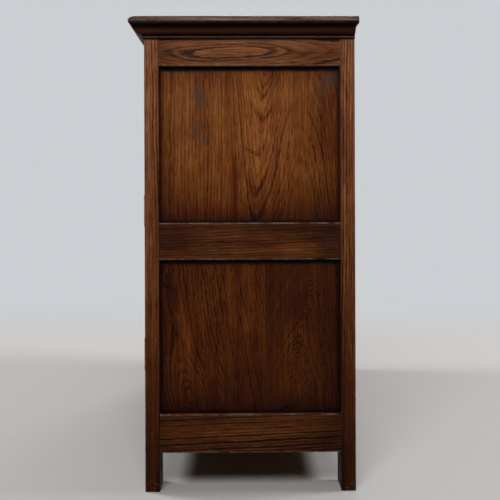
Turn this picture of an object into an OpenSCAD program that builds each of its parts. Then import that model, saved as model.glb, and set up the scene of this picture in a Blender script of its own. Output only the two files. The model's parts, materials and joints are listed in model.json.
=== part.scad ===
// Oak sideboard: framed ends with two flat panels, two drawers over two doors.
// Length runs along X, the front faces -Y, the feet stand at Z = 0.

/* [Carcass] */
// Length over the outer faces of the two end frames
body_l = 1164; // [1000:2:1400]
// Depth from the front face of the legs to their back face
body_d = 404; // [360:1:470]
// Height of the legs, up to the underside of the top board
body_h = 891; // [850:1:980]

/* [Legs] */
// Width of a leg along the length of the sideboard
leg_w = 68; // [60:1:80]
// Thickness of a leg from front to back
leg_t = 28; // [26:1:36]
// Clear height under the bottom rails
foot_h = 74; // [50:1:100]

/* [End frames] */
// Thickness of the end rails
end_rail_t = 24; // [22:1:28]
// Height of the bottom rails
bottom_rail_h = 74; // [60:1:90]
// Height of the lower edge of the middle rail above the floor
mid_rail_z = 444; // [380:1:480]
// Height of the middle rail of an end
mid_rail_h = 71; // [55:1:80]
// Height of the top rail of an end, with the part behind the cornice
end_top_rail_h = 75; // [60:1:90]
// How far rails stand back from the faces of the legs
rail_setback = 1; // [0.5:0.5:2]
// Depth of a panel's face behind the face of its rails
panel_recess = 13; // [9:0.5:14]
// Thickness of the end panels
panel_t = 6; // [4:0.5:7]
// How far a panel enters its grooves
panel_tongue = 7; // [4:1:9]

/* [Joints in the wood] */
// Thickness of the tenons
tenon_t = 9; // [6:1:10]
// Length of the tenons of the end rails
end_tenon_l = 20; // [12:1:22]
// Length of the tenons of the front and back rails
front_tenon_l = 30; // [18:1:34]
// Length of the short tenons on the centre stile
stub_tenon_l = 14; // [8:1:20]
// Wood between a panel groove and the tenons beside it
groove_wall = 2; // [1:0.5:4]
// Height of the shoulders above and below the tenons of the long rails
rail_shoulder = 4; // [3:0.5:8]
// Room left around tenons and in grooves
joint_play = 0.2; // [0.1:0.05:0.4]

/* [Front frame] */
// Height of the top rail of the front
front_top_rail_h = 61; // [45:1:80]
// Height of the rail under the drawers
drawer_rail_h = 25; // [20:1:35]
// Height of the drawer openings
drawer_open_h = 165; // [130:1:190]
// Width of the stile between the doors and between the drawers
centre_stile_w = 60; // [50:1:80]

/* [Back frame] */
// Height of the top rail of the back
back_top_rail_h = 58; // [45:1:80]
// Height of the bottom rail of the back
back_bottom_rail_h = 74; // [50:1:90]
// How far the middle rail of the back stands above and below the drawer runners
back_rail_lap = 26; // [15:1:40]
// Thickness of the back panel
back_t = 6; // [4:0.5:9]
// How far the back panel laps onto the back legs
back_rebate_w = 14; // [8:1:20]
// How far the back panel stays inside the ends of the back rails
back_margin = 8; // [4:1:12]

/* [Inside] */
// Thickness of the cupboard floor
floor_t = 18; // [14:1:22]
// Width of the rebate for the cupboard floor in the front bottom rail
floor_lip = 8; // [5:1:12]
// Wood left between the end rails' floor rebates and their panel grooves
lip_wall = 1; // [0.8:0.1:2]
// Thickness of the shelf
shelf_t = 18; // [14:1:22]
// Gap between the shelf and the front frame
shelf_front_gap = 4; // [2:1:30]
// Gap at the ends and the back of the shelf
shelf_gap = 0.8; // [0.4:0.1:0.9]
// Width of the shelf battens
batten_w = 20; // [14:1:30]
// Height of the shelf battens
batten_h = 18; // [12:1:25]
// Distance of the battens from the legs
batten_inset = 24; // [10:1:60]
// Thickness of the drawer runners and kickers
bearer_t = 18; // [14:1:22]
// How far runners and kickers reach under and over the drawer sides
bearer_lap = 24; // [18:1:34]
// Gap between an outer runner and the end rails' inner face
bearer_gap = 0.8; // [0.4:0.1:0.9]
// Width of the outer drawer guides
guide_w = 18; // [12:1:30]
// Height of the drawer guides
guide_h = 18; // [12:1:30]

/* [Top board] */
// Thickness of the top board
top_t = 19; // [17:1:25]
// Overhang of the top board at the front
top_over_front = 28; // [26:1:40]
// Overhang of the top board at each end
top_over_end = 28; // [26:1:40]
// Overhang of the top board at the back
top_over_back = 6; // [2:1:12]
// Depth of the broad rounding on the upper edge
top_round_w = 24; // [14:1:28]
// Radius of the rounding on the lower edge
top_under_r = 7; // [4:0.5:9]
// Radius of the small rounding along the back edge
top_back_r = 3; // [1:0.5:5]

/* [Cornice] */
// Height of the cornice moulding
cornice_h = 24; // [22:1:30]
// Reach of the cornice at its top
cornice_out = 20.5; // [16:0.5:22]
// Height of the upper bulge of the cornice
cornice_bulge_h = 16; // [12:0.5:16]
// Reach of the narrow neck below the bulge
cornice_neck = 4; // [3:0.5:6]
// Radius of the bead along the lower edge
bead_r = 2.4; // [1.5:0.1:2.8]
// How far the middle of the bead stands behind the neck
bead_inset = 1; // [0.5:0.1:1.5]
// Height of the flats above the bulge and below the bead
cornice_fillet = 1; // [0.5:0.1:1.5]

/* [Doors] */
// Thickness of the doors
door_t = 20; // [18:1:24]
// Gap around doors and drawer fronts
door_gap = 2; // [1.6:0.1:3]
// Width of the door stiles and rails
door_frame_w = 62; // [50:1:80]
// Depth of a door panel's face behind its frame
door_recess = 7; // [5:0.5:9]
// Thickness of the door panels
door_panel_t = 6; // [4:0.5:7]
// Length of the tenons on the door rails
door_tenon_l = 32; // [20:1:40]
// Height of the shoulders above and below the tenons of the door rails
door_shoulder = 11; // [9:1:14]

/* [Drawers] */
// Thickness of a drawer front
drawer_front_t = 20; // [18:1:24]
// Thickness of the sides and the back of a drawer
drawer_side_t = 12; // [9:1:15]
// Length of the dovetails, into the back of a drawer front
dovetail_l = 12; // [8:1:14]
// Number of dovetails at each corner
dovetail_n = 4; // [3:1:5]
// Height of a dovetail at its root, as a share of the spacing
tail_root_share = 0.46; // [0.4:0.01:0.5]
// Height of a dovetail at its end, as a share of the spacing
tail_tip_share = 0.64; // [0.55:0.01:0.7]
// Height of the drawer bottom above the lower edges of the sides
bottom_rise = 9; // [6:1:14]
// Thickness of the drawer bottom
bottom_t = 6; // [4:0.5:8]
// Depth of the grooves around the drawer bottom
bottom_groove = 5; // [3:0.5:6]
// How far the bottom stops short of the ends of the sides
bottom_short = 1; // [0.5:0.5:4]
// How far a drawer's back enters its sides
drawer_housing = 4; // [2:0.5:5]
// Distance from a drawer's back to the ends of its sides
drawer_back_inset = 10; // [5:1:20]
// How far a drawer's back stays below its sides
drawer_back_drop = 10; // [4:1:25]
// Space between the drawer sides and the kickers
kicker_gap = 3; // [2:0.5:6]
// Running clearance under a drawer and behind it
run_gap = 0.3; // [0.2:0.05:0.6]

/* [Hinges] */
// Length of a butt hinge
hinge_l = 63; // [50:1:76]
// Distance from the ends of a door to its hinges
hinge_inset = 70; // [40:1:110]
// Thickness of the hinge leaves
leaf_t = 1.6; // [1.2:0.1:2]
// Depth of a leaf inside the gap at the door's edge
leaf_d = 17; // [12:1:18]
// Outer radius of the knuckles
knuckle_r = 4; // [3.5:0.1:4.5]
// Number of knuckles
knuckle_n = 5; // [3:2:7]
// Radius of the hinge pins
pin_r = 1.5; // [1.2:0.1:1.8]
// Radial clearance of the pins
pin_play = 0.05; // [0.03:0.01:0.08]
// Space between the knuckles and the face of the legs
knuckle_gap = 0.5; // [0.4:0.1:1]
// Distance of a leaf from the middle of the gap beside the door
leaf_space = 0.2; // [0.1:0.05:0.4]
// Half of the space between two knuckles
knuckle_space = 0.15; // [0.1:0.05:0.3]
// Distance from the barrel to the straight part of a leaf
barrel_space = 0.4; // [0.3:0.05:0.6]
// Radius of the balls at the ends of a pin
pin_head_r = 2.6; // [2.2:0.1:3.2]

/* [Catches] */
// Length of a magnetic catch
catch_l = 40; // [30:1:60]
// Depth of a magnetic catch
catch_d = 16; // [14:1:25]
// Height of a magnetic catch
catch_h = 12; // [8:1:16]
// Distance of a catch from the free edge of its door
catch_inset = 16; // [8:1:60]
// Gap between a closed door and its catch
catch_gap = 1.2; // [0.8:0.1:2]

/* [Drawer handles] */
// Spacing of the two posts
post_spacing = 76; // [60:1:96]
// Distance of the bail's pivot from the drawer front
bail_reach = 14; // [12:0.5:16]
// Radius of the bail's rod
bail_r = 2.4; // [1.8:0.1:2.6]
// Radius of the pivots at the ends of the bail
bail_pivot_r = 1.6; // [1.2:0.1:1.8]
// Drop of the bail below its pivots
bail_drop = 27; // [22:1:36]
// Radius of a post at its ball
post_r = 4.8; // [4:0.1:5.2]
// Thickness of the handle plates
plate_t = 1.6; // [1.2:0.1:2.4]
// Height of the pivots above the middle of the drawer front
bail_rise = 10; // [0:1:20]
// Radius of a post behind its ball
post_neck_r = 3.2; // [2.6:0.1:3.6]
// Radius of the foot of a post
post_foot_r = 6.5; // [5:0.1:8]
// Height of the straight part of a post's foot
post_foot_h = 1.4; // [1:0.1:2]
// Height of the middle strip of a plate
plate_strip_h = 16; // [12:0.5:22]
// Radius of the round lobes of a plate
plate_lobe_r = 13; // [10:0.5:15]
// Side of the square that points up and down from the middle of a plate
plate_diamond = 18.7; // [14:0.1:24]
// Radius of the small tips of a plate
plate_tip_r = 3.9; // [2:0.1:5]
// Radius of the bend between a bail's pivots and its legs
bail_shoulder_r = 5; // [4:0.5:7]
// Radius of the lower bends of a bail
bail_corner_r = 9; // [6:0.5:12]
// Space between a post and the shoulder of the bail
bail_play = 0.6; // [0.4:0.1:1]
// How far the pivots of a bail stay inside the posts
pivot_inset = 0.5; // [0.2:0.1:1]
// Length of the swelling in the middle of a bail
grip_l = 26; // [16:1:36]
// How much the swelling adds to the radius of the rod
grip_swell = 1; // [0.5:0.1:1.6]

/* [Door handles] */
// Distance of the drop's pivot from the door
drop_reach = 13; // [12:0.5:15]
// Length of the drop below its pivot
drop_l = 44; // [36:1:56]
// Largest radius of the drop
drop_r = 8; // [6:0.5:9]
// Radius of the drop's pin
drop_pin_r = 1.4; // [1.2:0.1:1.6]
// Thickness of the drop's eye
eye_t = 4.6; // [4:0.1:6]
// Height of the drop's pivot above the middle of the door
drop_rise = 44; // [0:1:90]
// Outer radius of the drop's eye
eye_r = 3.2; // [2.8:0.1:4]
// Radius of the drop's stem
drop_stem_r = 1.8; // [1.4:0.1:2.4]
// Largest radius of the collar on the stem
drop_collar_r = 3.4; // [2.6:0.1:4.4]
// Height of the collar on the stem
drop_collar_h = 3.5; // [2:0.1:5]
// Distance from the pivot down to the collar
drop_collar_at = 13; // [8:1:18]
// Thickness of the two ears
ear_t = 2.2; // [1.6:0.1:3]
// Radius of the rounded ends of the ears
ear_r = 3.4; // [2.8:0.1:4]
// Space between an ear and the drop's eye
ear_space = 0.3; // [0.2:0.05:0.6]
// Width of the straight part of a door's handle plate
drop_plate_w = 13.5; // [10:0.5:16]
// Height between the lobes of a door's handle plate
drop_plate_h = 45; // [36:1:56]
// Radius of the lobes of a door's handle plate
drop_plate_lobe_r = 9; // [7:0.5:11]
// Radius of the small tips of a door's handle plate
drop_plate_tip_r = 2.6; // [1.6:0.1:3.4]
// How far the middle of the plate lies below the pivot
drop_plate_sink = 15; // [8:1:20]

/* [Hidden] */
// Places across the depth
front_y = top_over_front - (body_d + top_over_front + top_over_back) / 2;
back_y = front_y + body_d;
front_in = front_y + leg_t;
back_in = back_y - leg_t;
face_y = front_y + rail_setback;
back_face = back_y - back_t;
front_tenon_y = (face_y + front_in) / 2;
back_tenon_y = (back_in + back_face) / 2;

// Places along the length
end_x = body_l / 2;
open_x = end_x - leg_w;
rail_out = end_x - rail_setback;
rail_in = rail_out - end_rail_t;
panel_out = rail_out - panel_recess;
end_tenon_x = (rail_out + rail_in) / 2;
leaf_x = centre_stile_w / 2 + door_gap;
leaf_w = open_x - centre_stile_w / 2 - 2 * door_gap;

// Heights
sill_z = foot_h + bottom_rail_h;
lintel_z = body_h - front_top_rail_h;
drawer_z = lintel_z - drawer_open_h;
door_head_z = drawer_z - drawer_rail_h;
door_z = sill_z + door_gap;
door_h = door_head_z - door_gap - door_z;
back_mid_z = drawer_z - bearer_t - back_rail_lap;
back_mid_h = bearer_t + 2 * back_rail_lap;
end_shoulder = panel_tongue + groove_wall;

// Drawers and their dovetails
drawer_low = drawer_z + run_gap;
side_top = lintel_z - kicker_gap;
front_back = face_y + drawer_front_t;
side_end = back_in - run_gap;
tray_z = drawer_low + bottom_rise;
tail_pitch = (side_top - drawer_low) / dovetail_n;
tail_root = tail_pitch * tail_root_share;
tail_tip = tail_pitch * tail_tip_share;

// Doors and their hinges
door_back = face_y + door_t;
door_panel_face = face_y + door_recess;
door_tenon_y = (face_y + door_back) / 2;
hinge_x = open_x - door_gap / 2;
hinge_y = front_y - knuckle_r - knuckle_gap;

// Handles
drawer_mid_x = leaf_x + leaf_w / 2;
bail_z = (drawer_z + lintel_z) / 2 + bail_rise;
bail_y = face_y - bail_reach;
grip_r = bail_r + grip_swell;
drop_x = leaf_x + door_frame_w / 2;
drop_z = door_z + door_h / 2 + drop_rise;
drop_y = face_y - drop_reach;

// How far a cut runs past the wood that it cuts, and how far fused shapes run into each other
cut = 1;
weld = 1;

$fn = 48;

// The dark oak stain gets lighter up the legs and over the upper panels
oak_leg = [0.36, 0.20, 0.11];
oak_rail = [0.31, 0.18, 0.10];
oak_panel = [0.34, 0.19, 0.09];
oak_dark = [0.23, 0.12, 0.06];
oak_inside = [0.55, 0.40, 0.25];
oak_top = [0.19, 0.12, 0.09];
old_brass = [0.62, 0.47, 0.24];
dull_steel = [0.50, 0.50, 0.50];

// A board between two corners
module board(low, high) {
    translate(low) cube(high - low);
}

module both_ends() {
    children();
    mirror([1, 0, 0]) children();
}

// Tenons of an end rail, reaching into the front and the back leg
module end_tenons(z, h, play) {
    half_t = tenon_t / 2 + play;
    board([end_tenon_x - half_t, front_in - end_tenon_l - play, z + end_shoulder - play],
          [end_tenon_x + half_t, back_in + end_tenon_l + play, z + h - end_shoulder + play]);
}

// Tenons of a rail that runs along the length, reaching into both legs
module long_tenons(y, z, h, play) {
    half_t = tenon_t / 2 + play;
    reach = open_x + front_tenon_l + play;
    board([-reach, y - half_t, z + rail_shoulder - play],
          [reach, y + half_t, z + h - rail_shoulder + play]);
}

module end_rail(z, h) {
    difference() {
        union() {
            board([rail_in, front_in, z], [rail_out, back_in, z + h]);
            end_tenons(z, h, 0);
        }
        end_panel_seats();
        floor_shape(joint_play);
    }
}

module end_panel(z, top, play) {
    grow = panel_tongue + play;
    board([panel_out - panel_t - play, front_in - grow, z - grow],
          [panel_out + play, back_in + grow, top + grow]);
}

module lower_panel_shape(play) {
    end_panel(sill_z, mid_rail_z, play);
}

module upper_panel_shape(play) {
    end_panel(mid_rail_z + mid_rail_h, body_h - end_top_rail_h, play);
}

module end_panel_seats() {
    lower_panel_shape(joint_play);
    upper_panel_shape(joint_play);
}

module end_mortises() {
    end_tenons(foot_h, bottom_rail_h, joint_play);
    end_tenons(mid_rail_z, mid_rail_h, joint_play);
    end_tenons(body_h - end_top_rail_h, end_top_rail_h, joint_play);
}

module front_leg() {
    color(oak_leg) difference() {
        board([open_x, front_y, 0], [end_x, front_in, body_h]);
        end_mortises();
        end_panel_seats();
        long_tenons(front_tenon_y, foot_h, bottom_rail_h, joint_play);
        long_tenons(front_tenon_y, door_head_z, drawer_rail_h, joint_play);
        long_tenons(front_tenon_y, lintel_z, front_top_rail_h, joint_play);
        for (z = hinge_zs()) frame_leaf_seat(z);
    }
}

module back_leg() {
    color(oak_leg) difference() {
        board([open_x, back_in, 0], [end_x, back_y, body_h]);
        end_mortises();
        end_panel_seats();
        long_tenons(back_tenon_y, foot_h, back_bottom_rail_h, joint_play);
        long_tenons(back_tenon_y, back_mid_z, back_mid_h, joint_play);
        long_tenons(back_tenon_y, body_h - back_top_rail_h, back_top_rail_h, joint_play);
        back_panel_shape(joint_play);
    }
}

// A rail along the length with a tenon in each leg
module long_rail(front, back, y, z, h) {
    board([-open_x, front, z], [open_x, back, z + h]);
    long_tenons(y, z, h, 0);
}

module front_rail(z, h) {
    long_rail(face_y, front_in, front_tenon_y, z, h);
}

module back_rail(z, h) {
    long_rail(back_in, back_face, back_tenon_y, z, h);
}

// Short tenons above and below the centre stile
module stile_tenons(play) {
    half_w = centre_stile_w / 2 - rail_shoulder + play;
    half_t = tenon_t / 2 + play;
    board([-half_w, front_tenon_y - half_t, sill_z - stub_tenon_l - play],
          [half_w, front_tenon_y + half_t, lintel_z + stub_tenon_l + play]);
}

// The halved crossing of the centre stile and the drawer rail: the stile keeps its front half
module stile_crossing() {
    board([-centre_stile_w / 2, face_y - cut, door_head_z - cut],
          [centre_stile_w / 2, front_tenon_y, drawer_z + cut]);
}

module rail_crossing() {
    board([-centre_stile_w / 2 - cut, front_tenon_y, door_head_z],
          [centre_stile_w / 2 + cut, front_in + cut, drawer_z]);
}

module back_panel_shape(play) {
    reach = open_x + back_rebate_w + play;
    board([-reach, back_face - play, foot_h + back_margin - play],
          [reach, back_y + play, body_h - back_margin + play]);
}

// The cupboard floor lies between the legs, in rebates of the rails
module floor_shape(play) {
    reach = panel_out - panel_t - lip_wall + play;
    board([-reach, front_in, sill_z - floor_t - play], [reach, back_in, sill_z + play]);
    board([-open_x, front_in - floor_lip - play, sill_z - floor_t - play],
          [open_x, front_in + weld, sill_z + play]);
}

// Board section of a runner or kicker, from the front frame to the back frame
module bearer(x1, x2, z) {
    board([x1, front_in, z], [x2, back_in, z + bearer_t]);
}

module bearers_at(z) {
    outer_in = open_x - bearer_lap;
    centre = centre_stile_w / 2 + bearer_lap;
    both_ends() bearer(outer_in, rail_in - bearer_gap, z);
    bearer(-centre, centre, z);
}

// Edge shape of the top board, as a broad rounding above and a small one below
function ellipse_arc(cx, cy, rx, ry, from, to, steps) =
    [for (i = [0 : steps]) let (a = from + (to - from) * i / steps) [cx + rx * cos(a), cy + ry * sin(a)]];

function nosed_edge(reach) = concat(
    ellipse_arc(reach - top_under_r, top_under_r, top_under_r, top_under_r, -90, 0, 8),
    ellipse_arc(reach - top_round_w, top_under_r, top_round_w, top_t - top_under_r, 0, 90, 14));

module top_end_outline() {
    half = end_x + top_over_end;
    polygon(concat(nosed_edge(half), [for (p = reverse_list(nosed_edge(half))) [-p[0], p[1]]]));
}

module top_depth_outline() {
    front = -(front_y - top_over_front);
    back = back_y + top_over_back;
    polygon(concat(
        [for (p = nosed_edge(front)) [-p[0], p[1]]],
        ellipse_arc(back - top_back_r, top_t - top_back_r, top_back_r, top_back_r, 90, 0, 4),
        ellipse_arc(back - top_back_r, top_back_r, top_back_r, top_back_r, 0, -90, 4)));
}

function reverse_list(list) = [for (i = [len(list) - 1 : -1 : 0]) list[i]];

// Section of the cornice: reach outwards and height below the top board
module cornice_section() {
    bulge_x = cornice_out - cornice_neck;
    bulge_z = cornice_bulge_h - cornice_fillet;
    bead_z = -cornice_h + bead_r + cornice_fillet;
    polygon(concat(
        [[0, 0], [cornice_out, 0]],
        ellipse_arc(cornice_neck, -cornice_fillet, bulge_x, bulge_z, 0, -90, 12),
        [[cornice_neck, bead_z + bead_r]],
        ellipse_arc(cornice_neck - bead_inset, bead_z, bead_r, bead_r, 80, -90, 8),
        [[0, -cornice_h]]));
}

// The slab of space in which the cornice is mitred
module cornice_slab() {
    translate([0, 0, body_h - cornice_h - cut]) linear_extrude(cornice_h + 2 * cut) children();
}

module cornice_front_run() {
    reach = end_x + cornice_out;
    intersection() {
        translate([-reach, front_y, body_h]) rotate([90, 0, 90])
            linear_extrude(2 * reach) mirror([1, 0, 0]) cornice_section();
        cornice_slab()
            polygon([[-end_x, front_y], [-reach, front_y - cornice_out],
                     [reach, front_y - cornice_out], [end_x, front_y]]);
    }
}

module cornice_end_run() {
    run = body_d + cornice_out;
    intersection() {
        translate([end_x, back_y, body_h]) rotate([90, 0, 0]) linear_extrude(run) cornice_section();
        cornice_slab()
            polygon([[end_x, front_y], [end_x + cornice_out, front_y - cornice_out],
                     [end_x + cornice_out, back_y], [end_x, back_y]]);
    }
}

// Drawer parts, drawn for the right drawer
module dovetails(play) {
    for (i = [0 : dovetail_n - 1])
        translate([0, front_back, drawer_low + (i + 0.5) * tail_pitch])
            rotate([90, 0, 90])
                linear_extrude(drawer_side_t)
                    polygon([[play, -tail_root / 2 - play], [-dovetail_l - play, -tail_tip / 2 - play],
                             [-dovetail_l - play, tail_tip / 2 + play], [play, tail_root / 2 + play]]);
}

module drawer_tray(play) {
    groove = bottom_groove + play;
    board([leaf_x + drawer_side_t - groove, front_back - groove, tray_z - play],
          [leaf_x + leaf_w - drawer_side_t + groove, side_end - bottom_short, tray_z + bottom_t + play]);
}

module drawer_front() {
    color(oak_panel) difference() {
        board([leaf_x, face_y, drawer_z + door_gap], [leaf_x + leaf_w, front_back, lintel_z - door_gap]);
        translate([leaf_x, 0, 0]) dovetails(joint_play);
        translate([leaf_x + leaf_w - drawer_side_t, 0, 0]) dovetails(joint_play);
        drawer_tray(joint_play);
    }
}

module drawer_side(x) {
    difference() {
        union() {
            board([x, front_back, drawer_low], [x + drawer_side_t, side_end, side_top]);
            translate([x, 0, 0]) dovetails(0);
        }
        drawer_tray(joint_play);
        drawer_back_board(joint_play);
    }
}

module drawer_sides() {
    color(oak_inside) {
        drawer_side(leaf_x);
        drawer_side(leaf_x + leaf_w - drawer_side_t);
    }
}

// The back is housed a little way into both sides and stands on the bottom
module drawer_back_board(play) {
    reach = drawer_housing + play;
    back = side_end - drawer_back_inset;
    board([leaf_x + drawer_side_t - reach, back - drawer_side_t - play, tray_z + bottom_t + play],
          [leaf_x + leaf_w - drawer_side_t + reach, back + play, side_top - drawer_back_drop]);
}

module drawer_back() {
    color(oak_inside) drawer_back_board(0);
}

module drawer_bottom() {
    color(oak_inside) drawer_tray(0);
}

// Door parts, drawn for the right door, hinged at the leg
module door_stile(x) {
    board([x, face_y, door_z], [x + door_frame_w, door_back, door_z + door_h]);
}

module door_rail(z) {
    board([leaf_x + door_frame_w, face_y, z], [leaf_x + leaf_w - door_frame_w, door_back, z + door_frame_w]);
    door_tenons(z, 0);
}

module door_tenons(z, play) {
    reach = door_tenon_l + play;
    half_t = tenon_t / 2 + play;
    top = z + door_frame_w - door_shoulder + play;
    board([leaf_x + door_frame_w - reach, door_tenon_y - half_t, z + door_shoulder - play],
          [leaf_x + leaf_w - door_frame_w + reach, door_tenon_y + half_t, top]);
}

module door_panel_shape(play) {
    grow = panel_tongue + play;
    board([leaf_x + door_frame_w - grow, door_panel_face - play, door_z + door_frame_w - grow],
          [leaf_x + leaf_w - door_frame_w + grow, door_panel_face + door_panel_t + play,
           door_z + door_h - door_frame_w + grow]);
}

module door_frame_cuts() {
    door_panel_shape(joint_play);
    door_tenons(door_z, joint_play);
    door_tenons(door_z + door_h - door_frame_w, joint_play);
}

module door_hinge_stile() {
    color(oak_rail) difference() {
        door_stile(leaf_x + leaf_w - door_frame_w);
        door_frame_cuts();
        for (z = hinge_zs()) door_leaf_seat(z);
    }
}

module door_lock_stile() {
    color(oak_rail) difference() {
        door_stile(leaf_x);
        door_frame_cuts();
    }
}

module door_rails() {
    color(oak_rail) difference() {
        union() {
            door_rail(door_z);
            door_rail(door_z + door_h - door_frame_w);
        }
        door_panel_shape(joint_play);
    }
}

module door_panel() {
    color(oak_panel) door_panel_shape(0);
}

// Butt hinges: the barrel stands in front of the gap between door and leg
function hinge_zs() = [door_z + hinge_inset, door_z + door_h - hinge_inset - hinge_l];

// A plain leaf on the +X side of the hinge axis, behind the barrel
module leaf_plate(play) {
    board([leaf_space, knuckle_r + barrel_space, -play],
          [leaf_space + leaf_t + play, front_y - hinge_y + leaf_d + play, hinge_l + play]);
}

// Knuckles first, first + 2 and so on, with their links to the leaf
module knuckles(first) {
    step = hinge_l / knuckle_n;
    for (i = [first : 2 : knuckle_n - 1]) {
        low = i * step + knuckle_space;
        high = (i + 1) * step - knuckle_space;
        translate([0, 0, low]) cylinder(h = high - low, r = knuckle_r);
        board([leaf_space, 0, low], [leaf_space + leaf_t, knuckle_r + barrel_space + weld, high]);
    }
}

module hinge_leaf(first) {
    difference() {
        union() {
            leaf_plate(0);
            knuckles(first);
        }
        translate([0, 0, -cut]) cylinder(h = hinge_l + 2 * cut, r = pin_r + pin_play);
    }
}

module at_hinge(z) {
    translate([hinge_x, hinge_y, z]) children();
}

module frame_leaf_seat(z) {
    at_hinge(z) leaf_plate(joint_play);
}

module door_leaf_seat(z) {
    at_hinge(z) mirror([1, 0, 0]) leaf_plate(joint_play);
}

module hinge_pin() {
    translate([0, 0, -pin_head_r]) cylinder(h = hinge_l + 2 * pin_head_r, r = pin_r);
    for (z = [-pin_head_r, hinge_l + pin_head_r]) translate([0, 0, z]) sphere(r = pin_head_r);
}

module door_leaves() {
    color(old_brass) for (z = hinge_zs()) at_hinge(z) mirror([1, 0, 0]) hinge_leaf(1);
}

// Bail handle of a drawer, hanging plumb from two posts
module drawer_plate() {
    color(old_brass) translate([drawer_mid_x, face_y, bail_z]) {
        rotate([90, 0, 0]) linear_extrude(plate_t) {
            square([post_spacing, plate_strip_h], center = true);
            for (side = [-1, 1]) translate([side * post_spacing / 2, 0]) circle(r = plate_lobe_r);
            rotate(45) square(plate_diamond, center = true);
            for (side = [-1, 1]) translate([side * (post_spacing / 2 + plate_lobe_r), 0])
                circle(r = plate_tip_r);
        }
        for (side = [-1, 1]) translate([side * post_spacing / 2, 0, 0]) difference() {
            rotate([90, 0, 0]) {
                cylinder(h = plate_t + post_foot_h, r = post_foot_r);
                translate([0, 0, plate_t + post_foot_h])
                    cylinder(h = post_foot_h * 2, r1 = post_foot_r, r2 = post_neck_r);
                cylinder(h = bail_reach, r = post_neck_r);
                translate([0, 0, bail_reach]) sphere(r = post_r);
            }
            translate([-post_r - cut, -bail_reach, 0]) rotate([0, 90, 0])
                cylinder(h = 2 * (post_r + cut), r = bail_pivot_r + pin_play);
        }
    }
}

// One half of the bail: pivot, shoulder, leg, corner and half of the grip
module bail_half() {
    stub_in = post_spacing / 2 - post_r + pivot_inset;
    leg_x = post_spacing / 2 + post_r + bail_play + bail_r + bail_shoulder_r;
    shoulder_x = leg_x - bail_shoulder_r;
    translate([stub_in, 0, 0]) rotate([0, 90, 0]) cylinder(h = shoulder_x - stub_in, r = bail_pivot_r);
    translate([shoulder_x - bail_r, 0, 0]) rotate([0, 90, 0]) cylinder(h = bail_r, r = bail_r);
    translate([shoulder_x, 0, -bail_shoulder_r]) rotate([90, 0, 0])
        rotate_extrude(angle = 90) translate([bail_shoulder_r, 0]) circle(r = bail_r);
    translate([leg_x, 0, -bail_drop + bail_corner_r])
        cylinder(h = bail_drop - bail_corner_r - bail_shoulder_r, r = bail_r);
    translate([leg_x - bail_corner_r, 0, -bail_drop + bail_corner_r]) rotate([90, 0, 0])
        rotate_extrude(angle = -90) translate([bail_corner_r, 0]) circle(r = bail_r);
    translate([0, 0, -bail_drop]) rotate([0, 90, 0]) cylinder(h = leg_x - bail_corner_r, r = bail_r);
    translate([0, 0, -bail_drop]) rotate([0, 90, 0]) cylinder(h = grip_l / 2, r1 = grip_r, r2 = bail_r);
}

module drawer_bail() {
    color(old_brass) translate([drawer_mid_x, bail_y, bail_z]) both_ends() bail_half();
}

// Drop handle of a door: a plate with two ears and a turned drop between them
module door_plate() {
    color(old_brass) translate([drop_x, face_y, drop_z]) {
        translate([0, 0, -drop_plate_sink]) rotate([90, 0, 0]) linear_extrude(plate_t) {
            square([drop_plate_w, drop_plate_h], center = true);
            for (side = [-1, 1]) translate([0, side * drop_plate_h / 2]) circle(r = drop_plate_lobe_r);
            for (side = [-1, 1]) translate([0, side * (drop_plate_h / 2 + drop_plate_lobe_r)])
                circle(r = drop_plate_tip_r);
        }
        for (side = [-1, 1]) translate([side * (eye_t / 2 + ear_space + ear_t / 2), 0, 0]) {
            translate([-ear_t / 2, -drop_reach, 0]) rotate([0, 90, 0]) cylinder(h = ear_t, r = ear_r);
            board([-ear_t / 2, -drop_reach, -ear_r], [ear_t / 2, -plate_t / 2, ear_r]);
        }
        translate([-eye_t / 2 - ear_space - ear_t, -drop_reach, 0]) rotate([0, 90, 0])
            cylinder(h = eye_t + 2 * ear_space + 2 * ear_t, r = drop_pin_r);
    }
}

module door_drop() {
    collar_z = -drop_collar_at;
    color(old_brass) translate([drop_x, drop_y, drop_z]) difference() {
        union() {
            translate([-eye_t / 2, 0, 0]) rotate([0, 90, 0]) cylinder(h = eye_t, r = eye_r);
            rotate_extrude() polygon(concat(
                [[0, 0], [drop_stem_r, 0], [drop_stem_r, collar_z],
                 [drop_collar_r, collar_z - drop_collar_h / 2], [drop_stem_r, collar_z - drop_collar_h]],
                ellipse_arc(0, -drop_l + drop_r, drop_r, drop_r, 30, -90, 14)));
        }
        translate([-eye_t / 2 - cut, 0, 0]) rotate([0, 90, 0])
            cylinder(h = eye_t + 2 * cut, r = drop_pin_r + pin_play);
    }
}

module right_front_leg() { front_leg(); }
module right_back_leg() { back_leg(); }
module left_front_leg() { mirror([1, 0, 0]) front_leg(); }
module left_back_leg() { mirror([1, 0, 0]) back_leg(); }

module right_end_top_rail() { color(oak_rail) end_rail(body_h - end_top_rail_h, end_top_rail_h); }
module right_end_mid_rail() { color(oak_dark) end_rail(mid_rail_z, mid_rail_h); }
module right_end_bottom_rail() { color(oak_dark) end_rail(foot_h, bottom_rail_h); }
module left_end_top_rail() { mirror([1, 0, 0]) right_end_top_rail(); }
module left_end_mid_rail() { mirror([1, 0, 0]) right_end_mid_rail(); }
module left_end_bottom_rail() { mirror([1, 0, 0]) right_end_bottom_rail(); }

module right_upper_panel() { color(oak_panel) upper_panel_shape(0); }
module right_lower_panel() { color(oak_dark) lower_panel_shape(0); }
module left_upper_panel() { mirror([1, 0, 0]) right_upper_panel(); }
module left_lower_panel() { mirror([1, 0, 0]) right_lower_panel(); }

module front_top_rail() {
    color(oak_rail) difference() {
        front_rail(lintel_z, front_top_rail_h);
        stile_tenons(joint_play);
    }
}

module drawer_rail() {
    color(oak_rail) difference() {
        front_rail(door_head_z, drawer_rail_h);
        stile_crossing();
    }
}

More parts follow.
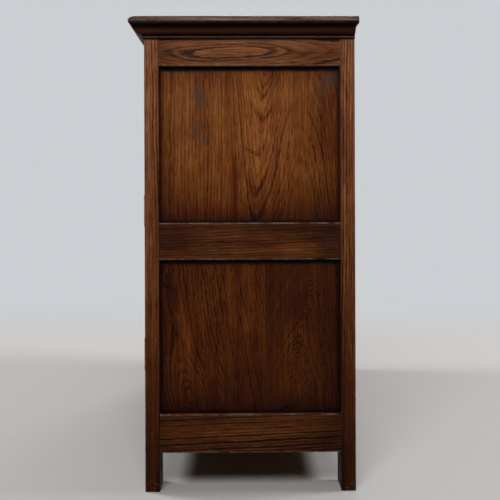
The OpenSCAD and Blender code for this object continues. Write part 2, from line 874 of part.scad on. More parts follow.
module front_bottom_rail() {
    color(oak_dark) difference() {
        front_rail(foot_h, bottom_rail_h);
        stile_tenons(joint_play);
        floor_shape(joint_play);
    }
}

module centre_stile() {
    color(oak_leg) difference() {
        union() {
            board([-centre_stile_w / 2, face_y, sill_z], [centre_stile_w / 2, front_in, lintel_z]);
            stile_tenons(0);
        }
        rail_crossing();
    }
}

module back_top_rail() { color(oak_dark) back_rail(body_h - back_top_rail_h, back_top_rail_h); }
module back_mid_rail() { color(oak_inside) back_rail(back_mid_z, back_mid_h); }
module back_bottom_rail() { color(oak_dark) back_rail(foot_h, back_bottom_rail_h); }
module back_panel() { color(oak_inside) back_panel_shape(0); }
module cupboard_floor() { color(oak_inside) floor_shape(0); }

module shelf() {
    reach = rail_in - shelf_gap;
    low = mid_rail_z + batten_h;
    color(oak_inside)
        board([-reach, front_in + shelf_front_gap, low], [reach, back_in - shelf_gap, low + shelf_t]);
}

module shelf_battens() {
    color(oak_inside) both_ends()
        board([rail_in - batten_w, front_in + batten_inset, mid_rail_z],
              [rail_in, back_in - batten_inset, mid_rail_z + batten_h]);
}

module drawer_bearers() {
    color(oak_inside) {
        bearers_at(drawer_z - bearer_t);
        bearers_at(lintel_z);
    }
}

module drawer_guides() {
    color(oak_inside) {
        both_ends() board([open_x, front_in, drawer_z], [open_x + guide_w, back_in, drawer_z + guide_h]);
        board([-centre_stile_w / 2, front_in, drawer_z], [centre_stile_w / 2, back_in, drawer_z + guide_h]);
    }
}

module top_board() {
    depth = body_d + top_over_front + top_over_back;
    length = body_l + 2 * top_over_end;
    color(oak_top) translate([0, 0, body_h]) intersection() {
        translate([0, depth / 2, 0]) rotate([90, 0, 0]) linear_extrude(depth) top_end_outline();
        translate([-length / 2, 0, 0]) rotate([90, 0, 90]) linear_extrude(length) top_depth_outline();
    }
}

module cornice_front() { color(oak_top) cornice_front_run(); }
module cornice_right() { color(oak_top) cornice_end_run(); }
module cornice_left() { mirror([1, 0, 0]) cornice_right(); }

module hinge_frame_leaves() {
    color(old_brass) both_ends() for (z = hinge_zs()) at_hinge(z) hinge_leaf(0);
}

module hinge_pins() {
    color(old_brass) both_ends() for (z = hinge_zs()) at_hinge(z) hinge_pin();
}

module catch_magnets() {
    low_y = door_back + catch_gap;
    low_x = leaf_x + catch_inset;
    color(dull_steel) both_ends()
        board([low_x, low_y, door_head_z - catch_h], [low_x + catch_l, low_y + catch_d, door_head_z]);
}

module right_drawer_front() { drawer_front(); }
module right_drawer_sides() { drawer_sides(); }
module right_drawer_back() { drawer_back(); }
module right_drawer_bottom() { drawer_bottom(); }
module left_drawer_front() { mirror([1, 0, 0]) drawer_front(); }
module left_drawer_sides() { mirror([1, 0, 0]) drawer_sides(); }
module left_drawer_back() { mirror([1, 0, 0]) drawer_back(); }
module left_drawer_bottom() { mirror([1, 0, 0]) drawer_bottom(); }
module right_drawer_plate() { drawer_plate(); }
module right_drawer_bail() { drawer_bail(); }
module left_drawer_plate() { mirror([1, 0, 0]) drawer_plate(); }
module left_drawer_bail() { mirror([1, 0, 0]) drawer_bail(); }

module right_door_hinge_stile() { door_hinge_stile(); }
module right_door_lock_stile() { door_lock_stile(); }
module right_door_rails() { door_rails(); }
module right_door_panel() { door_panel(); }
module left_door_hinge_stile() { mirror([1, 0, 0]) door_hinge_stile(); }
module left_door_lock_stile() { mirror([1, 0, 0]) door_lock_stile(); }
module left_door_rails() { mirror([1, 0, 0]) door_rails(); }
module left_door_panel() { mirror([1, 0, 0]) door_panel(); }
module right_door_hinge_leaves() { door_leaves(); }
module left_door_hinge_leaves() { mirror([1, 0, 0]) door_leaves(); }
module right_door_plate() { door_plate(); }
module right_door_drop() { door_drop(); }
module left_door_plate() { mirror([1, 0, 0]) door_plate(); }
module left_door_drop() { mirror([1, 0, 0]) door_drop(); }

right_front_leg();
right_back_leg();
left_front_leg();
left_back_leg();
right_end_top_rail();
right_end_mid_rail();
right_end_bottom_rail();
left_end_top_rail();
left_end_mid_rail();
left_end_bottom_rail();
right_upper_panel();
right_lower_panel();
left_upper_panel();
left_lower_panel();
front_top_rail();
drawer_rail();
front_bottom_rail();
centre_stile();
back_top_rail();
back_mid_rail();
back_bottom_rail();
back_panel();
cupboard_floor();
shelf();
shelf_battens();
drawer_bearers();
drawer_guides();
top_board();
cornice_front();
cornice_right();
cornice_left();
hinge_frame_leaves();
hinge_pins();
catch_magnets();
right_drawer_front();
right_drawer_sides();
right_drawer_back();
right_drawer_bottom();
left_drawer_front();
left_drawer_sides();
left_drawer_back();
left_drawer_bottom();
right_drawer_plate();
right_drawer_bail();
left_drawer_plate();
left_drawer_bail();
right_door_hinge_stile();
right_door_lock_stile();
right_door_rails();
right_door_panel();
left_door_hinge_stile();
left_door_lock_stile();
left_door_rails();
left_door_panel();
right_door_hinge_leaves();
left_door_hinge_leaves();
right_door_plate();
right_door_drop();
left_door_plate();
left_door_drop();
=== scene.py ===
# Oak sideboard: finishes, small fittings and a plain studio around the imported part.
# Lengths are in metres in the part's own frame: the front faces -Y, the feet stand at z = 0.
import json
import math
import random

import bmesh
import bpy
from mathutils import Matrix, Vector, noise


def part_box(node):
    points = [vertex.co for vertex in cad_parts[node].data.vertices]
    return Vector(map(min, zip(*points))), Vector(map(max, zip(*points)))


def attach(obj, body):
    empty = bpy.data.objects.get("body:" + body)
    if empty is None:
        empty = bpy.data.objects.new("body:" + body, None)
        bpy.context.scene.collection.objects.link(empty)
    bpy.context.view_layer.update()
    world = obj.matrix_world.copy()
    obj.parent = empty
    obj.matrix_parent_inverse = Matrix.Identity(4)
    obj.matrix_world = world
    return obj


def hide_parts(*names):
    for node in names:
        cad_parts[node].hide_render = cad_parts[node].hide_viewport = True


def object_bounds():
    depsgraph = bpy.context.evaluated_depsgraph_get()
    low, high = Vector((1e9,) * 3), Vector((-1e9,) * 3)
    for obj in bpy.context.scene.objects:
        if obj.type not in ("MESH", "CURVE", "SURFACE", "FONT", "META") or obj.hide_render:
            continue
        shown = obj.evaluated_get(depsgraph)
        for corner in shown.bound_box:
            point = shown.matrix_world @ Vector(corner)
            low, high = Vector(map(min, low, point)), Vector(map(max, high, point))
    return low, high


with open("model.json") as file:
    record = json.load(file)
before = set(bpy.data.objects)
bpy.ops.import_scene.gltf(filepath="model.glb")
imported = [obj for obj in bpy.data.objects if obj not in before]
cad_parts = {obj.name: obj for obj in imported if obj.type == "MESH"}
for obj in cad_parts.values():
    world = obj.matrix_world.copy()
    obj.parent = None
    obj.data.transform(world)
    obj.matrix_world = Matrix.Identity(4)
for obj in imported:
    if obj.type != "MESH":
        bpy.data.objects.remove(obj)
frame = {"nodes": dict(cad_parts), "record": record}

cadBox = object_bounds()
bodyOf = {node: body for body, nodes in frame["record"]["behaviour"]["bodies"].items() for node in nodes}
slotOf = {part["node"]: part["material_slot"] for part in frame["record"]["subparts"]}


# node trees: values that can be added and multiplied, and one method for every other node

class Value:
    # wraps an output socket, so that shader maths reads as plain arithmetic
    def __init__(self, tree, socket):
        self.tree = tree
        self.socket = socket

    def __add__(self, other):
        return self.tree.maths("ADD", self, other)

    def __sub__(self, other):
        return self.tree.maths("SUBTRACT", self, other)

    def __rsub__(self, other):
        return self.tree.maths("SUBTRACT", other, self)

    def __mul__(self, other):
        return self.tree.maths("MULTIPLY", self, other)

    def __truediv__(self, other):
        return self.tree.maths("DIVIDE", self, other)

    def __rtruediv__(self, other):
        return self.tree.maths("DIVIDE", other, self)

    __radd__ = __add__
    __rmul__ = __mul__


class NodeTree:
    def __init__(self, tree):
        self.nodes = tree.nodes
        self.links = tree.links

    def add(self, kind, settings=None, inputs=None, out=0):
        # settings first, then sockets by number or name; gives back one output
        node = self.nodes.new(kind)
        for key, value in (settings or {}).items():
            if key == "stops":
                while len(node.color_ramp.elements) < len(value):
                    node.color_ramp.elements.new(0.5)
                for element, (place, colour) in zip(node.color_ramp.elements, value):
                    element.position = place
                    element.color = (*colour, 1)
            else:
                setattr(node, key, value)
        for key, value in (inputs or {}).items():
            if isinstance(value, Value):
                self.links.new(value.socket, node.inputs[key])
            else:
                node.inputs[key].default_value = value
        return Value(self, node.outputs[out]) if len(node.outputs) else None

    def maths(self, operation, a, b=0.0):
        return self.add("ShaderNodeMath", {"operation": operation}, {0: a, 1: b})

    def vector(self, operation, a, b=None, scale=None):
        sockets = {key: value for key, value in ((0, a), (1, b), ("Scale", scale)) if value is not None}
        out = "Value" if operation in ("LENGTH", "DOT_PRODUCT") else "Vector"
        return self.add("ShaderNodeVectorMath", {"operation": operation}, sockets, out)

    def split(self, vector):
        node = self.add("ShaderNodeSeparateXYZ", None, {0: vector}).socket.node
        return [Value(self, socket) for socket in node.outputs]

    def mix(self, share, a, b, blend="MIX"):
        settings = {"data_type": "RGBA", "blend_type": blend, "clamp_factor": True}
        first, second = [c if isinstance(c, Value) else (*c, 1) for c in (a, b)]
        return self.add("ShaderNodeMix", settings, {0: share, 6: first, 7: second}, 2)  # its colour sockets

    def between(self, value, low, high, a=0.0, b=1.0):
        # a below low, b above high, with a soft step from one to the other
        settings = {"interpolation_type": "SMOOTHSTEP"}
        return self.add("ShaderNodeMapRange", settings, {0: value, 1: low, 2: high, 3: a, 4: b})

    def band(self, value, low, full, fade, high):
        # 1 from full to fade, 0 below low and above high
        return self.between(value, low, full) * self.between(value, fade, high, 1.0, 0.0)

    def noise(self, vector, scale=1.0, detail=2.0, rough=0.5):
        sockets = {"Vector": vector, "Scale": scale, "Detail": detail, "Roughness": rough}
        return self.add("ShaderNodeTexNoise", None, sockets)

    def stretched(self, vector, waves, detail, rough, low, high):
        # patches drawn out by the three wave counts per metre
        return self.between(self.noise(self.vector("MULTIPLY", vector, waves), 1.0, detail, rough), low, high)

    def attribute(self, name, out="Vector"):
        return self.add("ShaderNodeAttribute", {"attribute_name": name}, None, out)

    def amount(self, name):
        return self.attribute(name, "Fac")

    def place(self, kind="Object"):
        return self.add("ShaderNodeTexCoord", None, None, kind)

    def seenBy(self, *rays):
        # 1 for any of these kinds of ray
        path = self.nodes.new("ShaderNodeLightPath")
        seen = [Value(self, path.outputs[ray]) for ray in rays]
        while len(seen) > 1:
            seen.append(self.maths("MAXIMUM", seen.pop(0), seen.pop(0)))
        return seen[0]


def newFinish(name):
    material = bpy.data.materials.new(name)
    material.use_nodes = True
    material.node_tree.nodes.clear()
    return material, NodeTree(material.node_tree)


def surface(tree, settings):
    shader = tree.add("ShaderNodeBsdfPrincipled", None, settings)
    tree.add("ShaderNodeOutputMaterial", None, {"Surface": shader})


# oak: growth rings around a pith line, pores along the grain, stain, wear on the arrises

# what every oak shares, unless its own entry below says otherwise
oakCommon = {
    # a noise drawn out along the grain: waves per metre across it, waves per metre along it, detail, roughness
    "slow": (11, 2.4, 2, 0.5), "quick": (360, 40, 2, 0.6), "slowBend": 0.008, "quickBend": 0.0032,
    "streak": (300, 11, 3, 0.6), "fine": (620, 34, 2, 0.6), "broad": (60, 2.2, 2, 0.5),
    "pore": (1500, 70, 2, 0.6), "dash": (480, 60, 2, 0.6),
    # where the noise opens into pores or dashes, and how many of them are left in the late wood
    "poreEdges": (0.50, 0.64, 0.22), "dashEdges": (0.50, 0.62, 0.25), "poreDepth": 0.6,
    # year rings: uneven widths, strength (of all, and what varies), where in a year they rise and fall
    "swayPitch": 0.31, "sway": 0.8, "years": (0.22, 0.9), "ringRise": 0.12, "ringFall": 0.18, "ringWidth": 0.7,
    # what each of them adds to the tone, and where the four tones lie
    "shares": {"ring": 0.62, "streak": 1.3, "broad": 0.8, "fine": 1.1, "dash": 0.40}, "lift": 0.20,
    "toneStops": (0.0, 0.36, 0.82, 1.0),
    # stain: clouds, a hue that changes over the board, and how fast green and blue fall where it is dark
    "cloudSize": 8.0, "clouds": 0.5, "hueSize": 14.0, "hueEdges": (0.36, 0.64),
    "redder": (0.94, 0.84, 0.80), "amber": (1.07, 1.10, 1.04), "greenFall": 1.33, "blueFall": 2.20,
    "soot": (0.040, 0.026, 0.019),
    # rubbed arrises, partly a painted highlight: patches, where they start and are full, and how far the wear
    # reaches in shares of its width
    "rub": {"scale": 38.0, "detail": 4, "rough": 0.65}, "rubEdges": (0.36, 0.66), "rubWidths": (0.3, 1.6),
    "relief": {"ring": -0.5, "pore": -1.0, "dash": -0.6, "streak": 0.7}, "bump": 0.45, "bumpDepth": 0.0004,
    "rough": 0.44, "poreRough": 0.22, "cloudRough": 0.15, "wornRough": 0.15, "sheen": 0.06,
}

# tones: a year ring from light to dark, then the open pores; wornAndHighlit: the rubbed arrises, partly a painted
# highlight; pitch: a year's width
# heights: painted fall-off of the light together with a stain that darkens towards the floor, as shares of the
# height of the sideboard
# patches: waves per metre each way, detail, roughness, where they start and where they are full
oakLooks = {
    "legOak": {
        "tones": [(0.235, 0.092, 0.036), (0.140, 0.048, 0.016), (0.054, 0.015, 0.005), (0.016, 0.005, 0.003)],
        "wornAndHighlit": (0.20, 0.12, 0.075), "wearAndHighlight": 0.32, "wearWidth": 0.0015,
        "pitch": 0.0056, "ringDepth": 1.5, "ringWidth": 0.85,
        "heights": [(0.0, 0.16), (0.10, 0.20), (0.30, 0.50), (0.60, 0.80), (0.82, 0.98), (0.95, 1.08)],
        "scuffs": {"patches": ((90, 90, 300), 3, 0.7, 0.56, 0.66), "from": 0.004, "upTo": 0.030, "share": 0.5},
    },
    "railOak": {
        "tones": [(0.180, 0.066, 0.023), (0.105, 0.035, 0.011), (0.040, 0.012, 0.004), (0.014, 0.005, 0.003)],
        "wornAndHighlit": (0.150, 0.108, 0.088), "wearAndHighlight": 0.75, "wearWidth": 0.0022,
        "pitch": 0.0042, "ringDepth": 1.7, "ringWidth": 0.85,
        "heights": [(0.0, 0.48), (0.45, 0.46), (0.57, 0.44), (0.80, 0.95), (1.0, 0.95)],
    },
    "panelOak": {
        "tones": [(0.215, 0.076, 0.018), (0.126, 0.037, 0.0065), (0.046, 0.011, 0.0022), (0.016, 0.004, 0.001)],
        "wornAndHighlit": (0.16, 0.07, 0.03), "wearAndHighlight": 0.05, "wearWidth": 0.001,
        "pitch": 0.0027, "ringDepth": 0.85, "ringWidth": 0.62, "years": (0.36, 0.55),
        "heights": [(0.17, 0.26), (0.25, 0.34), (0.48, 0.30), (0.58, 0.52), (0.68, 0.92), (0.84, 0.92),
                    (0.89, 0.64)],
        # painted shade and dirt along the frame: how much its edge wanders, where it starts and ends, and its shade
        "shadeAndGrime": {"size": 22.0, "corners": (0.004, 0.0010, 0.0085, 0.30),
                  "underRail": (0.003, 0.0052, 0.0115, 0.03), "aboveRail": (0.03, 0.0, 0.05, 0.5)},
    },
    "frontOak": {
        "tones": [(0.205, 0.077, 0.028), (0.120, 0.041, 0.014), (0.048, 0.014, 0.005), (0.015, 0.005, 0.003)],
        "wornAndHighlit": (0.24, 0.15, 0.095), "wearAndHighlight": 0.55, "wearWidth": 0.0018, "pitch": 0.0038, "ringDepth": 1.1,
        "heights": [(0.0, 0.55), (0.3, 0.68), (0.7, 0.9), (1.0, 1.0)],
    },
    "topOak": {
        "tones": [(0.062, 0.032, 0.019), (0.034, 0.017, 0.010), (0.016, 0.008, 0.005), (0.006, 0.003, 0.002)],
        "wornAndHighlit": (0.14, 0.095, 0.068), "wearAndHighlight": 0.25, "wearWidth": 0.002, "pitch": 0.0040, "ringDepth": 0.8,
        "sheen": 0.035,
    },
    "corniceOak": {
        "tones": [(0.060, 0.022, 0.011), (0.030, 0.011, 0.006), (0.014, 0.005, 0.003), (0.006, 0.002, 0.002)],
        "wornAndHighlit": (0.13, 0.085, 0.065), "wearAndHighlight": 0.2, "wearWidth": 0.0015, "pitch": 0.0030, "ringDepth": 0.7,
        "sheen": 0.02,
    },
    "insideWood": {
        "tones": [(0.400, 0.240, 0.125), (0.300, 0.165, 0.080), (0.190, 0.094, 0.043), (0.100, 0.046, 0.021)],
        "wornAndHighlit": (0.46, 0.31, 0.18), "wearAndHighlight": 0.3, "wearWidth": 0.002, "pitch": 0.0048, "ringDepth": 0.7,
    },
    "backBoard": {
        "tones": [(0.300, 0.168, 0.085), (0.215, 0.113, 0.055), (0.130, 0.063, 0.030), (0.070, 0.032, 0.015)],
        "wornAndHighlit": (0.10, 0.05, 0.025), "wearAndHighlight": 0.8, "wearWidth": 0.0012, "pitch": 0.0085, "ringDepth": 0.6,
    },
    "drawerWood": {
        "tones": [(0.470, 0.300, 0.160), (0.360, 0.215, 0.108), (0.235, 0.127, 0.060), (0.140, 0.072, 0.036)],
        "wornAndHighlit": (0.50, 0.36, 0.22), "wearAndHighlight": 0.4, "wearWidth": 0.002, "pitch": 0.0042, "ringDepth": 0.65,
    },
}


def edgeDistance(tree, place):
    # distance to the nearest edge of the board: the middle one of the distances to its three pairs of faces
    low, high = tree.attribute("boardLow"), tree.attribute("boardHigh")
    near = tree.vector("MINIMUM", tree.vector("SUBTRACT", place, low), tree.vector("SUBTRACT", high, place))
    x, y, z = tree.split(near)
    lesser, greater = tree.maths("MINIMUM", x, y), tree.maths("MAXIMUM", x, y)
    return tree.maths("MAXIMUM", lesser, tree.maths("MINIMUM", greater, z))


def paintedShadeAndGrime(tree, place, edge, level, shadeAndGrime):
    # painted shade with some dirt in the corners of a panel, a painted shadow under the rail above it, and a
    # darkening strongest just above the rail below
    uneven = tree.noise(place, shadeAndGrime["size"], detail=3) - 0.5
    drop = tree.split(tree.vector("SUBTRACT", tree.attribute("boardHigh"), place))[2]
    rise = tree.split(tree.vector("SUBTRACT", place, tree.attribute("boardLow")))[2]
    for away, kind in ((edge, "corners"), (drop, "underRail"), (rise, "aboveRail")):
        wander, start, end, shade = shadeAndGrime[kind]
        level = level * tree.between(away + uneven * wander, start, end, shade, 1.0)
    return level


def oakFinish(name, look, trim=None):
    material, tree = newFinish(name)
    place, grain, figure = tree.place(), tree.attribute("grain"), tree.attribute("figure")
    shares, relief = look["shares"], look["relief"]

    def drawn(kind):
        across, length, detail, rough = look[kind]
        return tree.noise(tree.vector("MULTIPLY", grain, (across, across, length)), 1.0, detail, rough)

    # year rings: distance from the pith and what was painted on, bent by slow and quick waves
    radius = tree.vector("LENGTH", tree.vector("MULTIPLY", figure, (1, 1, 0))) + tree.split(figure)[2]
    radius = radius + (drawn("slow") - 0.5) * look["slowBend"]
    radius = radius + (drawn("quick") - 0.5) * look["quickBend"]
    rings = radius / look["pitch"]
    rings = rings + look["sway"] * tree.add("ShaderNodeTexNoise", {"noise_dimensions": "1D"},
                                            {"W": rings * look["swayPitch"], "Detail": 1.0})
    ring, number = tree.maths("FRACT", rings), tree.maths("FLOOR", rings)
    year = tree.add("ShaderNodeTexWhiteNoise", {"noise_dimensions": "1D"}, {"W": number})
    early = tree.band(ring, 0.0, look["ringRise"], look["ringFall"], look["ringWidth"])
    even, varied = look["years"]
    early = early * (even + year * year * varied) * tree.amount("bold")

    # streaks, open pores and dashes that run with the grain; the early wood has most of them
    def openings(kind):
        start, end, least = look[kind + "Edges"]
        return tree.between(drawn(kind), start, end) * (least + early * (1 - least))

    pore, dashes = openings("pore"), openings("dash")
    streak = drawn("streak") - 0.5
    tone = early * (shares["ring"] * look["ringDepth"]) + streak * shares["streak"]
    for kind in ("broad", "fine"):
        tone = tone + (drawn(kind) - 0.5) * shares[kind]
    tone = tone + dashes * shares["dash"] + look["lift"]
    colour = tree.add("ShaderNodeValToRGB", {"stops": list(zip(look["toneStops"], look["tones"]))}, {0: tone})
    colour = tree.mix(pore * look["poreDepth"], colour, look["tones"][3])

    # every board takes the stain a little differently; it has clouds, redder in one and amber in another
    clouds = tree.noise(place, look["cloudSize"], detail=3) - 0.5
    elsewhere = tree.vector("ADD", place, (3.1, 1.7, 5.3))
    hue = tree.between(tree.noise(elsewhere, look["hueSize"], detail=2), *look["hueEdges"])
    # the stain attribute also carries painted shade strips beside the legs
    level = tree.amount("stain") * (1.0 + clouds * look["clouds"])
    # painted fall-off of the light together with stain: the colour darkens towards the floor
    if "heights" in look:
        stops = [(share, (tint, tint, tint)) for share, tint in look["heights"]]
        z = tree.split(place)[2] / cadBox[1][2]
        level = level * tree.add("ShaderNodeValToRGB", {"stops": stops}, {0: z})
    edge = edgeDistance(tree, place)
    if "shadeAndGrime" in look:
        level = paintedShadeAndGrime(tree, place, edge, level, look["shadeAndGrime"])
    # the darker the stain, the redder
    green, blue = [tree.maths("POWER", level, look[fall]) for fall in ("greenFall", "blueFall")]
    stained = tree.add("ShaderNodeCombineXYZ", None, {0: level, 1: green, 2: blue})
    tint = tree.mix(hue, look["redder"], look["amber"])
    colour = tree.mix(1.0, colour, tree.mix(1.0, tint, stained, "MULTIPLY"), "MULTIPLY")
    colour = tree.mix(tree.amount("soot"), colour, look["soot"])

    # rubbed arrises, partly a painted highlight, and scuffs on the feet
    patchy = tree.between(tree.noise(place, **look["rub"]), *look["rubEdges"])
    start, end = [look["wearWidth"] * share for share in look["rubWidths"]]
    wornAndHighlit = tree.between(edge, start, end, 1.0, 0.0) * patchy * look["wearAndHighlight"]
    if "scuffs" in look:
        scuffs = look["scuffs"]
        nearFloor = tree.between(tree.split(place)[2], scuffs["from"], scuffs["upTo"], 1.0, 0.0)
        wornAndHighlit = wornAndHighlit + tree.stretched(place, *scuffs["patches"]) * nearFloor * scuffs["share"]
    colour = tree.mix(wornAndHighlit, colour, look["wornAndHighlit"])
    if trim:
        colour = trim(tree, place, colour)

    height = early * relief["ring"] + pore * relief["pore"] + dashes * relief["dash"] + streak * relief["streak"]
    normal = tree.add("ShaderNodeBump", None,
                      {"Strength": look["bump"], "Distance": look["bumpDepth"], "Height": height})
    rough = look["rough"] + pore * look["poreRough"] + clouds * look["cloudRough"] + wornAndHighlit * look["wornRough"]
    surface(tree, {"Base Color": colour, "Roughness": rough, "Normal": normal,
                   "Specular IOR Level": look["sheen"]})
    return material


legShade = {"middle": 0.011, "from": 0.174, "upTo": 0.181, "shade": 0.50}
topPaintedLightAndWear = {
    # the band is rubbed and partly a painted highlight; shades: the painted shadow under the nosing
    "band": (0.8960, 0.8995, 0.9020, 0.9052), "colour": (0.150, 0.108, 0.082),  # heights of the rubbed band
    "endEdges": (0.594, 0.604), "frontEdges": (-0.212, -0.203),
    "patches": ((14, 14, 120), 5, 0.65, 0.34, 0.62), "streaks": ((9, 9, 420), 4, 0.6, 0.38, 0.60),
    "least": 0.45, "streaky": 0.5,
    "shades": [(0.8940, 0.8992, 0.28, 1.0), (0.8905, 0.8935, 0.05, 1.0)],
}
cornicePaintedLightAndWear = {
    "bulge": (0.8765, 0.8800, 0.8840, 0.8875), "red": (0.062, 0.018, 0.006), "redShare": 0.7,
    "bead": (0.8688, 0.8698, 0.8716, 0.8726), "pale": (0.048, 0.038, 0.035), "paleShare": 0.8,
    "patchSize": 60.0, "patches": (0.30, 0.60, 0.3, 1.0),
    "neck": [(0.8722, 0.8732, 1.0, 0.22), (0.8750, 0.8765, 0.0, 0.78)],
    "shades": [(0.8785, 0.8845, 1.0, 0.33), (0.8845, 0.8875, 1.0, 0.05), (0.8675, 0.8690, 0.25, 1.0)],
}


def legTrim(tree, place, colour):
    # painted shade: the legs are darkened along the panels
    away = tree.maths("ABSOLUTE", tree.split(place)[1] - legShade["middle"])
    shade = tree.between(away, legShade["from"], legShade["upTo"], legShade["shade"], 1.0)
    return tree.vector("SCALE", colour, scale=shade)


def topTrim(tree, place, colour):
    # a grey band along the middle of the nosing, rubbed by hands and dust and partly a painted highlight; a painted
    # shadow darkens the underside
    x, y, z = tree.split(place)
    outer = tree.maths("MAXIMUM", tree.between(tree.maths("ABSOLUTE", x), *topPaintedLightAndWear["endEdges"]),
                       tree.between(y, *topPaintedLightAndWear["frontEdges"], 1.0, 0.0))
    patchy, streaks = [tree.stretched(place, *topPaintedLightAndWear[kind]) for kind in ("patches", "streaks")]
    rubbed = tree.band(z, *topPaintedLightAndWear["band"]) * outer * patchy * (topPaintedLightAndWear["least"] + streaks * topPaintedLightAndWear["streaky"])
    colour = tree.mix(rubbed, colour, topPaintedLightAndWear["colour"])
    lower, lowest = [tree.between(z, *shade) for shade in topPaintedLightAndWear["shades"]]
    return tree.vector("SCALE", colour, scale=lower * lowest)


def corniceTrim(tree, place, colour):
    # the bulge is painted redder, the bead below it is rubbed pale and partly a painted highlight, and painted
    # shadow lies under the top, in the neck and below the bead
    z = tree.split(place)[2]
    bulge = tree.band(z, *cornicePaintedLightAndWear["bulge"])
    colour = tree.mix(bulge * cornicePaintedLightAndWear["redShare"], colour, cornicePaintedLightAndWear["red"])
    patchy = tree.between(tree.noise(place, cornicePaintedLightAndWear["patchSize"], detail=3), *cornicePaintedLightAndWear["patches"])
    pale = tree.band(z, *cornicePaintedLightAndWear["bead"]) * patchy * cornicePaintedLightAndWear["paleShare"]
    colour = tree.mix(pale, colour, cornicePaintedLightAndWear["pale"])
    # painted shadow under the top, in the neck and below the bead
    above, top, below = [tree.between(z, *shade) for shade in cornicePaintedLightAndWear["shades"]]
    fall, rise = [tree.between(z, *shade) for shade in cornicePaintedLightAndWear["neck"]]
    return tree.vector("SCALE", colour, scale=above * top * (fall + rise) * below)


trims = {"legOak": legTrim, "topOak": topTrim, "corniceOak": corniceTrim}
finishes = {name: oakFinish(name, {**oakCommon, **look}, trims.get(name)) for name, look in oakLooks.items()}
print("finishes: %d kinds of oak" % len(finishes))


# metal

metalLooks = {
    "agedBrass": {"bright": (0.52, 0.36, 0.15), "aged": (0.17, 0.105, 0.042), "dark": (0.030, 0.018, 0.009),
                  "rough": 0.20},
    "catchSteel": {"bright": (0.42, 0.41, 0.39), "aged": (0.20, 0.18, 0.16), "dark": (0.055, 0.045, 0.038),
                   "rough": 0.28},
}
metalWear = {"patinaSize": 120.0, "patinaEdges": (0.34, 0.62), "patinaRough": 0.25, "spotSize": 700.0,
             "spotEdges": (0.60, 0.72), "spotShare": 0.8, "spotRough": 0.2,
             "slotDirtAndShade": (0.006, 0.004, 0.003), "slotShare": 0.9, "bump": 0.25, "bumpDepth": 0.0002}


def metalFinish(name, look):
    material, tree = newFinish(name)
    place = tree.place()
    patina = tree.noise(place, metalWear["patinaSize"], detail=5, rough=0.6)
    spots = tree.between(tree.noise(place, metalWear["spotSize"], detail=3), *metalWear["spotEdges"])
    colour = tree.mix(tree.between(patina, *metalWear["patinaEdges"]), look["bright"], look["aged"])
    colour = tree.mix(spots * metalWear["spotShare"], colour, look["dark"])
    # dirt and painted shade in the slots and round the lower sides of the screw heads
    colour = tree.mix(tree.amount("slot") * metalWear["slotShare"], colour, metalWear["slotDirtAndShade"])
    normal = tree.add("ShaderNodeBump", None, {"Strength": metalWear["bump"], "Distance": metalWear["bumpDepth"],
                                               "Height": patina - spots})
    rough = look["rough"] + patina * metalWear["patinaRough"] + spots * metalWear["spotRough"]
    surface(tree, {"Base Color": colour, "Metallic": 1.0, "Roughness": rough, "Normal": normal})
    return material


finishes.update({name: metalFinish(name, look) for name, look in metalLooks.items()})


# boards: softened copies of the joined solids, each with its own grain

axes = {"x": 0, "y": 1, "z": 2}
closeness = {"merge": 0.00001, "cut": 0.000001, "face": 0.00002, "edge": 0.00003,
             "turn": math.radians(0.5), "corner": 1.0}  # angles between faces: flat up to here, an arris from here
unworn = 0.1  # how far an arris that nothing rubs is put out of reach


def mergedCopy(node):
    shape = bmesh.new()
    shape.from_mesh(frame["nodes"][node].data)
    bmesh.ops.remove_doubles(shape, verts=shape.verts, dist=closeness["merge"])
    return shape


def newMesh(name, shape):
    mesh = bpy.data.meshes.new(name)
    shape.to_mesh(mesh)
    shape.free()
    return mesh


def newObject(name, data):
    made = bpy.data.objects.new(name, data)
    bpy.context.scene.collection.objects.link(made)
    return made


def finishPiece(name, shape, finish, nodes, **more):
    # turns a bmesh into a piece that stands for its nodes and rides with their body
    dressPiece(newObject(name, newMesh(name, shape)), finish, nodes, **more)


def dressPiece(piece, finish, nodes, body=None, slot=None, smooth=None):
    piece.data.materials.clear()
    piece.data.materials.append(finishes[finish])
    if smooth:
        piece.data.shade_smooth()
        piece.data.set_sharp_from_angle(angle=math.radians(smooth))
    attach(piece, body or bodyOf[nodes[0]])
    if nodes:
        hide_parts(*nodes)


def boxOf(points):
    return [Vector([most(p[i] for p in points) for i in range(3)]) for most in (min, max)]


def bodyBox(shape, thin):
    # the board without its tenons: the reach of its two broad faces
    low, high = boxOf([v.co for v in shape.verts])
    bodyLow, bodyHigh = boxOf([v.co for v in shape.verts
                               if min(v.co[thin] - low[thin], high[thin] - v.co[thin]) < closeness["face"]])
    bodyLow[thin], bodyHigh[thin] = low[thin], high[thin]
    return bodyLow, bodyHigh


def flatten(shape):
    # joins the loose triangles of flat faces
    bmesh.ops.dissolve_limit(shape, angle_limit=closeness["turn"], verts=shape.verts, edges=shape.edges)


def bevelEdges(shape, edges, width, segments, slide=False):
    bmesh.ops.bevel(shape, geom=edges, offset=width, offset_type="OFFSET", segments=segments, profile=0.5,
                    affect="EDGES", clamp_overlap=False, loop_slide=slide)


def softenEdges(shape, low, high, width, grain, ends):
    # bevels the edges of the board's box; edges of grooves and mortises stay crisp
    def onBox(edge):
        a, b = [v.co for v in edge.verts]
        fixed = [i for i in range(3) if all(min(abs(p[i] - low[i]), abs(p[i] - high[i])) < closeness["edge"]
                                            for p in (a, b))]
        runs = [i for i in range(3) if abs(a[i] - b[i]) > closeness["edge"]]
        turns = edge.is_manifold and edge.calc_face_angle(0) > closeness["corner"]
        return turns and len(fixed) >= 2 and (ends or runs == [grain])
    chosen = [edge for edge in shape.edges if onBox(edge)]
    if chosen:
        bevelEdges(shape, chosen, width, 2, slide=True)


